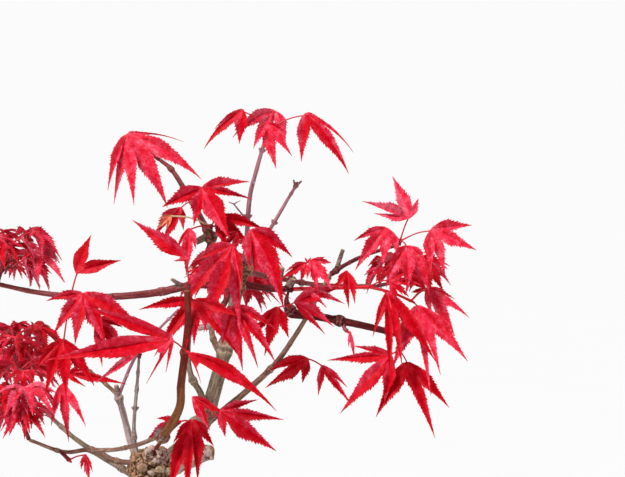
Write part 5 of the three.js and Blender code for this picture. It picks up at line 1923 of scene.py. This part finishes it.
    def relief_of(self, co: np.ndarray, grain: np.ndarray, share: np.ndarray) -> np.ndarray:
        """Gives how far each point of the bark stands out.

        Args:
            co: the points.
            grain: their places on the straightened limb.
            share: their shares of its length.

        Returns:
            The height of the relief in millimetres.
        """
        size = (self.limb.r[0] + self.limb.r[1]) / 2
        fine, crag = 0.05 + 0.02 * size, 0.1 + 0.06 * size
        knobby = np.zeros(len(co))
        for at, knob in self.limb.knobs:
            centre = np.array(tuple(self.curve.point_at(at)))
            near = np.clip(1.35 - np.linalg.norm(co - centre, axis=1) / (1.3 * knob), 0, 1)
            knobby = np.maximum(knobby, near)
        out = np.zeros(len(co))
        for i, (x, y, z) in enumerate(grain):
            ridge = noise.noise((x * 0.9, y * 0.9, z * 0.16)) + 0.5 * noise.noise((x * 2.1, y * 2.1, z * 0.5))
            lump = noise.noise((x * 0.28 + 7, y * 0.28, z * 0.11))
            out[i] = fine * ridge + 0.05 * size * lump
            if knobby[i] > 0:
                rough = noise.noise((x * 0.75, y * 0.75 + 5, z * 0.75)) + 0.6 * noise.noise((x * 1.6, y * 1.6, z * 1.6))
                out[i] += crag * knobby[i] * rough * 1.6
        if self.look.wood in (Wood.TRUNK, Wood.OLD):
            return out
        ring = np.cos(share * self.curve.length * 2 * math.pi / 15.0)
        return out + 0.05 * size ** 0.5 * np.clip(ring - 0.9, 0, 1) * 10

    def shape(self, co: np.ndarray, middles: np.ndarray, x: np.ndarray, y: np.ndarray) -> np.ndarray:
        """Gives the points of a limb's own further shape; a bough has none."""
        return co

    def _share_out(self, piece: bpy.types.Object) -> None:
        """Gives knobs, ringed nodes, stubs and cut ends their own finishes."""
        mesh = piece.data
        count = len(mesh.polygons)
        centres, normals = np.zeros(count * 3), np.zeros(count * 3)
        mesh.polygons.foreach_get("center", centres)
        mesh.polygons.foreach_get("normal", normals)
        centres, normals = centres.reshape(-1, 3) / MM, normals.reshape(-1, 3)
        slots = np.zeros(count, np.int32)
        for at, knob in self.limb.knobs:
            if knob >= self.LARGE_KNOB:
                slots[self._on_knob(centres, at, knob)] = self.CALLUS if self.look.gnarled else self.STUB
        for at, radius in self.rings():
            slots[self._on_ring(centres, at, radius)] = self.RING
        for stub in self.limb.stubs:
            side, end = self._on_stub(centres, normals, stub)
            if stub.r[0] < self.THIN_STUB:
                slots[side] = self.STUB
            slots[end] = self.STUB_END
        mesh.polygons.foreach_set("material_index", slots)

    def _on_knob(self, centres: np.ndarray, at: float, knob: float) -> np.ndarray:
        """Tells which faces lie on a knob, with a ragged edge."""
        off = centres - np.array(tuple(self.curve.point_at(at)))
        ragged = self.RAGGED + 0.35 * np.sin(centres[:, 0] * 1.9 + centres[:, 1] * 1.3) * np.sin(centres[:, 2] * 1.7)
        return np.linalg.norm(off, axis=1) < knob * ragged

    def _on_ring(self, centres: np.ndarray, at: float, radius: float) -> np.ndarray:
        """Tells which faces lie on the two wavy bands that rim a node."""
        ahead = self.curve.point_at(min(1.0, at + 0.01)) - self.curve.point_at(max(0.0, at - 0.01))
        off = centres - np.array(tuple(self.curve.point_at(at)))
        along = off @ np.array(tuple(ahead.normalized()))
        wobble = 0.12 * radius * np.sin(3 * np.arctan2(off[:, 0], off[:, 2]))
        band = np.minimum(np.abs(along - 0.42 * radius - wobble), np.abs(along + 0.42 * radius - wobble))
        return (band < 0.13 * radius) & (np.linalg.norm(off, axis=1) < 2.2 * radius)

    def _on_stub(self, centres: np.ndarray, normals: np.ndarray, stub: Stub) -> tuple[np.ndarray, np.ndarray]:
        """Tells which faces lie on the length of a stub, and which on its cut end."""
        start, end = self.curve.point_at(stub.at), VIEW.place(stub.end)
        way = np.array(tuple((end - start).normalized()))
        off = centres - np.array(tuple(end))
        wide = np.linalg.norm(off - np.outer(off @ way, way), axis=1)
        clear = max(0.0, (end - start).length - self.radius_at(stub.at) * 1.3)
        side = (off @ way > -clear) & (wide < stub.r[0] * 1.5) & (off @ way < stub.r[1] * 2)
        return side, (np.linalg.norm(off, axis=1) < stub.r[1] * 1.3) & (normals @ way > 0.6)


class TrunkPiece(LimbPiece):
    """The trunk, with the flare of its roots, cut flat on the ground."""

    SPREAD, HEIGHT, ROOTS, DEPTH = 10.0, 8.0, 5, 0.3
    STUB_END = 1
    STUB_SKIN = STUMP_SKIN
    THIN_STUB = 6.0
    RAGGED = 1.3
    GRID = 0.56
    UNDER = 2.0  # millimetres that the trunk reaches into the soil
    CROWN, CROWN_SLIM = 0.95, 0.76  # where the knob that ends the trunk starts, and how slim it is
    HEAD = (((-21.5, 146.5, -12), 2.6), ((-19.6, 150.2, -11), 1.3), ((-19.9, 152.6, -10.5), 1.3),
            ((-18.6, 154.8, -10), 1.4), ((-16.4, 156.2, -9.5), 1.5), ((-14.2, 156, -9.5), 1.4),
            ((-13, 154.2, -10), 1.4), ((-13.2, 151.8, -11), 1.3), ((-14.8, 149.6, -11.5), 1.4),
            ((-17.2, 148.6, -11.5), 1.3), ((-12.5, 145.4, -11), 2.5), ((-16.6, 143.8, -11.5), 2.1),
            ((-8.2, 144.6, -9), 2.2), ((-19.5, 140.8, -10.5), 2.0), ((-14, 139.4, -10), 2.2),
            ((-25.2, 150.4, -6), 2.1), ((-24.6, 142.2, -6), 2.3), ((10.8, 154, -3), 4.3), ((13.5, 151, -5), 1.4),
            ((8, 156.5, -4), 1.9), ((-26.5, 147, 0), 2.4), ((-23, 152.5, 4), 2.6), ((-17, 154.5, 5), 2.6),
            ((-11.5, 150.5, 8), 2.8), ((-20, 147.5, 9), 3.0), ((-26, 142, 5), 2.2), ((-14.5, 143, 10), 3.1),
            ((-8, 144, 8), 2.4), ((-21.5, 138, 7.5), 2.6))

    def warts(self) -> list[tuple[Vector, float]]:
        """Gives the lumps of the trunk's head, a ring of them round the hollow of an old cut."""
        return [(VIEW.place(spot), size) for spot, size in self.HEAD]

    def grown_knob(self, at: float, knob: float) -> float:
        """Gives a knob's radius; the one that ends the trunk is slimmer than its solid."""
        return knob * (self.CROWN_SLIM if at > self.CROWN else 1.0)

    @property
    def voxel(self) -> float:
        """The grid that the trunk's parts are melted together on, in millimetres."""
        return self.GRID

    def extra_radius(self, share: float) -> float:
        """Gives what the root flare adds to the trunk's radius."""
        return self._flare(self.curve.point_at(share).z)

    def _flare(self, z: float) -> float:
        """Gives the width of the root flare at a height."""
        return self.SPREAD * math.exp(-max(0.0, z - GROUND) / self.HEIGHT)

    def shape(self, co: np.ndarray, middles: np.ndarray, x: np.ndarray, y: np.ndarray) -> np.ndarray:
        """Draws the flare out into roots and flattens what lies under the ground."""
        angle = np.arctan2(x, -y)
        flare = self.SPREAD * np.exp(-np.maximum(0.0, co[:, 2] - GROUND) / self.HEIGHT)
        sway = 0.35 * np.sin(angle * 2 + 1.0) + 0.2 * np.sin(angle * 7)
        ridge = self.DEPTH * np.cos(self.ROOTS * angle + 0.6 * sway) * (1 + 0.3 * sway)
        away = co - middles
        away[:, 2] = 0
        far = np.linalg.norm(away, axis=1, keepdims=True)
        out = co + away / np.maximum(far, 1e-6) * (flare * ridge)[:, None]
        out[:, 2] = np.maximum(out[:, 2], GROUND - self.UNDER)
        return out


# Pot and soil


def raised_round(profile: Sequence[tuple[float, float]], sides: int, stretch: float) -> bpy.types.Object:
    """Raises a round body ring by ring and draws it out along its length.

    Args:
        profile: the radius and height of each ring, in millimetres.
        sides: the number of its sides.
        stretch: its length as a share of its width.

    Returns:
        The body.
    """
    bpy.ops.object.select_all(action="DESELECT")
    bpy.ops.mesh.primitive_circle_add(vertices=sides, radius=profile[0][0] * MM, fill_type="NGON",
                                      location=(0, 0, profile[0][1] * MM))
    body = bpy.context.object
    bpy.ops.object.mode_set(mode="EDIT")
    bpy.ops.mesh.select_all(action="SELECT")
    for (before, low), (radius, high) in zip(profile, profile[1:]):
        bpy.ops.mesh.extrude_region_move(TRANSFORM_OT_translate={"value": (0, 0, (high - low) * MM)})
        bpy.ops.transform.resize(value=(radius / before, radius / before, 1),
                                 center_override=(0, 0, high * MM))
    bpy.ops.mesh.select_all(action="SELECT")
    bpy.ops.mesh.normals_make_consistent(inside=False)
    bpy.ops.object.mode_set(mode="OBJECT")
    body.scale = (stretch, 1, 1)
    alone(body)
    bpy.ops.object.transform_apply(location=True, rotation=True, scale=True)
    return body


@dataclass
class TrayPot:
    """An oval tray pot with a broad lip, turned as a round and drawn out along its length."""

    length: float = 190.0
    width: float = 140.0
    height: float = 50.0
    foot: float = 112.0
    lip: float = 5.0
    lip_height: float = 9.0
    wall: float = 6.0
    floor: float = 7.0
    drain_radius: float = 6.0
    drain_offset: float = 42.0
    sides: int = 128

    @property
    def stretch(self) -> float:
        """The pot's length as a share of its width."""
        return self.length / self.width

    def inner_radius(self, z: float) -> float:
        """Gives the radius across the pot's width of its inner wall at a height."""
        foot = self.foot / 2 - self.wall
        rim = self.width / 2 - self.wall - 2
        return foot + (rim - foot) * (z - self.floor) / (self.height - self.floor)

    def profile(self) -> list[tuple[float, float]]:
        """Gives the pot's profile from its underside over the rim to its floor."""
        rim, foot = self.width / 2, self.foot / 2
        shoulder = self.height - self.lip_height
        top = rim - self.lip
        return [
            (foot - 2, 0), (foot, 2), (foot + 2.9, 10), (foot + 5.6, 20), (foot + 7.6, 30), (top, shoulder - 3),
            (top - 0.4, shoulder - 1.6), (top + 0.6, shoulder - 0.4), (rim - 0.7, shoulder + 0.4),
            (rim, shoulder + 1.4), (rim - 0.3, self.height - 4.5), (rim, self.height - 1.2),
            (rim - 0.8, self.height - 0.1), (rim - 2.2, self.height), (rim - self.wall, self.height),
            (rim - self.wall - 1.2, self.height - 0.4), (self.inner_radius(self.height - 2), self.height - 2.4),
            (self.inner_radius(24), 24), (self.inner_radius(self.floor + 3), self.floor + 3),
            (self.inner_radius(self.floor) - 3, self.floor),
        ]

    def build(self, book: FinishBook) -> bpy.types.Object:
        """Makes the pot's piece.

        Args:
            book: where its finish comes from.

        Returns:
            The piece.
        """
        piece = raised_round(self.profile(), self.sides, self.stretch)
        for way in (-1, 1):
            self._drain(piece, way * self.drain_offset)
        finish_with(piece, "BEVEL", width=0.5 * MM, segments=2, limit_method="ANGLE",
                    angle_limit=math.radians(50))
        piece.name = piece.data.name = "tray_pot"
        book.dress(piece, [POT_SKIN])
        smooth_by_angle(piece, 38.0)
        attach(piece, "root")
        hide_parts("pot")
        return piece

    def _drain(self, piece: bpy.types.Object, x: float) -> None:
        """Cuts a drain hole through the floor."""
        bpy.ops.object.select_all(action="DESELECT")
        bpy.ops.mesh.primitive_cylinder_add(vertices=40, radius=self.drain_radius * MM,
                                            depth=self.floor * 3 * MM, location=(x * MM, 0, self.floor / 2 * MM))
        cutter = bpy.context.object
        finish_with(piece, "BOOLEAN", operation="DIFFERENCE", object=cutter, solver="EXACT")
        bpy.data.objects.remove(cutter)


@dataclass
class SoilBed:
    """The mound of granular soil, a dark bed with a layer of separate grains on it.

    The bed lies sunk below the mound's height, and the grains keep inset from its rim. Their size
    lies in grain, their axes differ by squash and their corners by dents.
    """

    pot: TrayPot
    edge: float = 44.0
    flat: float = 31.0
    gap: float = 0.5
    crown: float = 2.5
    rings: int = 5
    lump: tuple[float, float] = (0.5, 1.4)
    seed: int = 9
    sectors: int = 28
    bed_rings: int = 26
    bed_sides: int = 96
    sunk: float = 0.8
    grains: int = 2600
    grain: tuple[float, float] = (0.8, 1.8)
    grain_seed: int = 77
    inset: float = 1.4
    squash: tuple[float, float] = (0.75, 1.15)
    dents: tuple[float, float] = (0.82, 1.12)
    full_turn: float = 6.28

    def __post_init__(self) -> None:
        """Draws the lumps, set chequerwise on the slope."""
        random = SeededNumbers(self.seed)
        self.lumps = [[(-1 if (ring + sector) % 2 else 1) * random.between(self.lump)
                       for sector in range(self.sectors)] for ring in range(self.rings - 1)]

    @property
    def rim(self) -> float:
        """The radius across the pot's width at which the soil ends."""
        return self.pot.inner_radius(self.edge) - self.gap

    def height_at(self, radius: float, angle: float) -> float:
        """Gives the mound's height.

        Args:
            radius: the radius across the pot's width.
            angle: the angle round the pot, in radians from +X.

        Returns:
            The height in millimetres, with the lumps.
        """
        share = (self.rim - radius) / (self.rim - self.flat)
        if share >= 1:
            return GROUND
        share = max(0.0, share)
        height = self.edge + (GROUND - self.edge) * share + self.crown * min(1.0, 2 * share, 2 - 2 * share)
        return height + self._lump(share * self.rings - 1, (angle / (2 * math.pi) - 0.25) * self.sectors)

    def _lump(self, ring: float, sector: float) -> float:
        """Gives the lump's height between its four nearest corners."""
        low, left = math.floor(ring), math.floor(sector)
        v, u = ring - low, sector - left
        height = 0.0
        for r, part in ((low, 1 - v), (low + 1, v)):
            if 0 <= r < self.rings - 1:
                a, b = self.lumps[r][-left % self.sectors], self.lumps[r][(-left - 1) % self.sectors]
                height += part * (a + (b - a) * u)
        return height

    def build(self, book: FinishBook) -> bpy.types.Object:
        """Makes the soil's piece.

        Args:
            book: where its finishes come from.

        Returns:
            The piece.
        """
        bed = self._bed()
        book.dress(bed, [BED_SKIN, *GRAIN_SKINS])
        grains = self._grains()
        book.dress(grains, [BED_SKIN, *GRAIN_SKINS])
        piece = joined([bed, grains], "soil_grains")
        smooth_by_angle(piece, 30.0)
        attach(piece, "root")
        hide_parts("soil")
        return piece

    def _bed(self) -> bpy.types.Object:
        """Makes the bed under the grains."""
        base = self.pot.floor + GAP
        rings = [(self.pot.inner_radius(self.pot.floor) - self.gap - 3, base), (self.rim, self.edge - 1.0)]
        rings += [(float(r), self.edge) for r in np.linspace(self.rim - 2, 3, self.bed_rings)]
        bed = raised_round(rings, self.bed_sides, self.pot.stretch)
        for vertex in bed.data.vertices:
            if vertex.co.z > (self.edge - 0.5) * MM:
                x, y = vertex.co.x / self.pot.stretch / MM, vertex.co.y / MM
                height = self.height_at(math.hypot(x, y), math.atan2(y, x)) - self.sunk
                vertex.co.z = height * MM + 0.0006 * noise.noise(vertex.co * 160)
        return bed

    def _grains(self) -> bpy.types.Object:
        """Scatters the grains over the bed, each a rough pebble of twenty faces."""
        bpy.ops.object.select_all(action="DESELECT")
        bpy.ops.mesh.primitive_ico_sphere_add(subdivisions=1, radius=1.0)
        seed_grain = bpy.context.object
        corners = [vertex.co.copy() for vertex in seed_grain.data.vertices]
        faces = [tuple(face.vertices) for face in seed_grain.data.polygons]
        bpy.data.objects.remove(seed_grain)
        random = SeededNumbers(self.grain_seed)
        rim = self.rim - self.inset
        pad = MeshPad()
        for _ in range(self.grains):
            radius, angle = rim * math.sqrt(random()), random() * 2 * math.pi
            size = random.between(self.grain)
            height = self.height_at(radius, angle) - self.sunk + 0.5 * size * random()
            middle = Vector((radius * math.cos(angle) * self.pot.stretch, radius * math.sin(angle), height))
            axes = Vector([size * random.between(self.squash) for _ in range(3)])
            turn = random() * self.full_turn
            slot = 1 + min(3, int(4 * random() ** 1.5))
            numbers = []
            for corner in corners:
                spot = Vector([c * a * random.between(self.dents) for c, a in zip(corner, axes)])
                turned = Vector((spot.x * math.cos(turn) - spot.y * math.sin(turn),
                                 spot.x * math.sin(turn) + spot.y * math.cos(turn), spot.z))
                numbers.append(pad.point(middle + turned))
            for face in faces:
                pad.face([numbers[k] for k in face], slot)
        return pad.object("grains")


# Studio


@dataclass(frozen=True)
class Sun:
    """A broad, far light: the way that it comes from, how broad it looks in degrees, its strength."""

    name: str
    spot: tuple[float, float, float]
    spread: float
    strength: float


@dataclass
class Studio:
    """The floor, the soft light and the camera.

    ambient is how strongly the backdrop lights the tree, and backdrop how bright the camera sees it.
    """

    focal: float = 92.16
    sensor: float = 36.0
    reach: float = 50.0
    floor_size: float = 14.0
    exposure: float = 0.0
    ambient: float = 0.43
    backdrop: float = 0.965
    suns: tuple[Sun, ...] = (Sun("key", (-0.6, -0.75, 1.1), 18.0, 3.0), Sun("fill", (0.9, 0.5, 1.0), 30.0, 0.6))

    def build(self, book: FinishBook) -> None:
        """Sets up the studio."""
        bpy.ops.object.select_all(action="DESELECT")
        bpy.ops.mesh.primitive_plane_add(size=self.floor_size, location=(0, 0, 0))
        floor = bpy.context.object
        floor.name = "studio_floor"
        book.dress(floor, [FloorFinish()])
        self._world()
        for sun in self.suns:
            self._light(sun)
        self._camera()
        scene = bpy.context.scene
        scene.view_settings.view_transform = "Standard"
        scene.view_settings.look = "None"
        scene.view_settings.exposure = self.exposure

    def _world(self) -> None:
        """Makes a white backdrop that lights the tree softly from all round."""
        world = bpy.data.worlds.new("studio_white")
        world.use_nodes = True
        tree = world.node_tree
        background = tree.nodes["Background"]
        background.inputs["Color"].default_value = (1.0, 1.0, 1.0, 1.0)
        sight = tree.nodes.new("ShaderNodeLightPath")
        level = tree.nodes.new("ShaderNodeMapRange")
        level.inputs["To Min"].default_value = self.ambient
        level.inputs["To Max"].default_value = self.backdrop
        tree.links.new(sight.outputs["Is Camera Ray"], level.inputs["Value"])
        tree.links.new(level.outputs["Result"], background.inputs["Strength"])
        bpy.context.scene.world = world

    @staticmethod
    def _light(sun: Sun) -> None:
        """Adds a light."""
        data = bpy.data.lights.new(sun.name, "SUN")
        data.angle = math.radians(sun.spread)
        data.energy = sun.strength
        light = bpy.data.objects.new(sun.name, data)
        light.location = sun.spot
        light.rotation_euler = (-Vector(sun.spot)).to_track_quat("-Z", "Y").to_euler()
        bpy.context.scene.collection.objects.link(light)

    def _camera(self) -> None:
        """Adds the camera where the viewer stands."""
        data = bpy.data.cameras.new("camera")
        data.lens = self.focal
        data.sensor_width = self.sensor
        data.clip_end = self.reach
        camera = bpy.data.objects.new("camera", data)
        camera.location = (VIEW.x * MM, -VIEW.distance * MM, VIEW.z * MM)
        camera.rotation_euler = (math.pi / 2, 0.0, 0.0)
        bpy.context.scene.collection.objects.link(camera)
        bpy.context.scene.camera = camera


class Maple:
    """The whole tree in its pot."""

    def __init__(self, book: FinishBook) -> None:
        """Measures the limbs.

        Args:
            book: where the finishes come from.
        """
        self.book = book
        self.limbs = {limb.name: (TrunkPiece if limb is TRUNK else LimbPiece)(limb) for limb in (TRUNK, *BOUGHS)}

    def root_of(self, mass: Spray | GrownMass, toward: Vector) -> Vector:
        """Gives where a mass's stem starts: clear of a tip, inside a side."""
        point = self.limbs[mass.on].curve.point_at(mass.at)
        return point if mass.at < 1 else point + (toward - point).normalized() * GAP

    def build(self) -> list[bpy.types.Object]:
        """Makes every piece, from the pot up."""
        pot = TrayPot()
        made = [self._told(pot.build(self.book)), self._told(SoilBed(pot).build(self.book))]
        made += [self._told(limb.build(self.book)) for limb in self.limbs.values()]
        for foliage in self._foliage():
            made += [self._told(piece) for piece in foliage.build(self.book)]
        return made

    def _foliage(self) -> list[Foliage]:
        """Lays out and grows every foliage mass."""
        taken = Clearance()
        for piece in self.limbs.values():
            taken.take(piece.curve.spaced(30), piece.limb.r[0] + GROWTH.room)
        masses = []
        for i, spray in enumerate(SPRAYS):
            for leaf in (leaf for twig in spray.twigs for leaf in twig.leaves if not leaf.added):
                taken.take(Blade.of(leaf, seen=False).samples(), GROWTH.room)
            foliage = Foliage(spray.name, i + 1)
            foliage.lay(spray, self.root_of(spray, VIEW.place(spray.twigs[0].path[1])))
            masses.append(foliage)
        later = []
        for mass in GROWN:
            foliage = Foliage(mass.name, mass.seed + 100)
            grown = foliage.grow(mass, self.root_of(mass, VIEW.place(mass.heart)), taken)
            later.append((foliage, mass, grown))
            masses.append(foliage)
        for foliage, mass, grown in later:
            foliage.refine(mass, grown, taken)
        return masses

    @staticmethod
    def _told(piece: bpy.types.Object) -> bpy.types.Object:
        """Reports a piece and gives it back."""
        LOG.info("%s: %d faces", piece.name, len(piece.data.polygons))
        return piece


def main() -> None:
    """Loads the frame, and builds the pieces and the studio."""
    logging.basicConfig(level=logging.INFO, format="%(message)s")
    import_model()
    book = FinishBook()
    Studio().build(book)
    made = Maple(book).build()
    LOG.info("%d pieces", len(made))


if __name__ == "__main__":
    main()
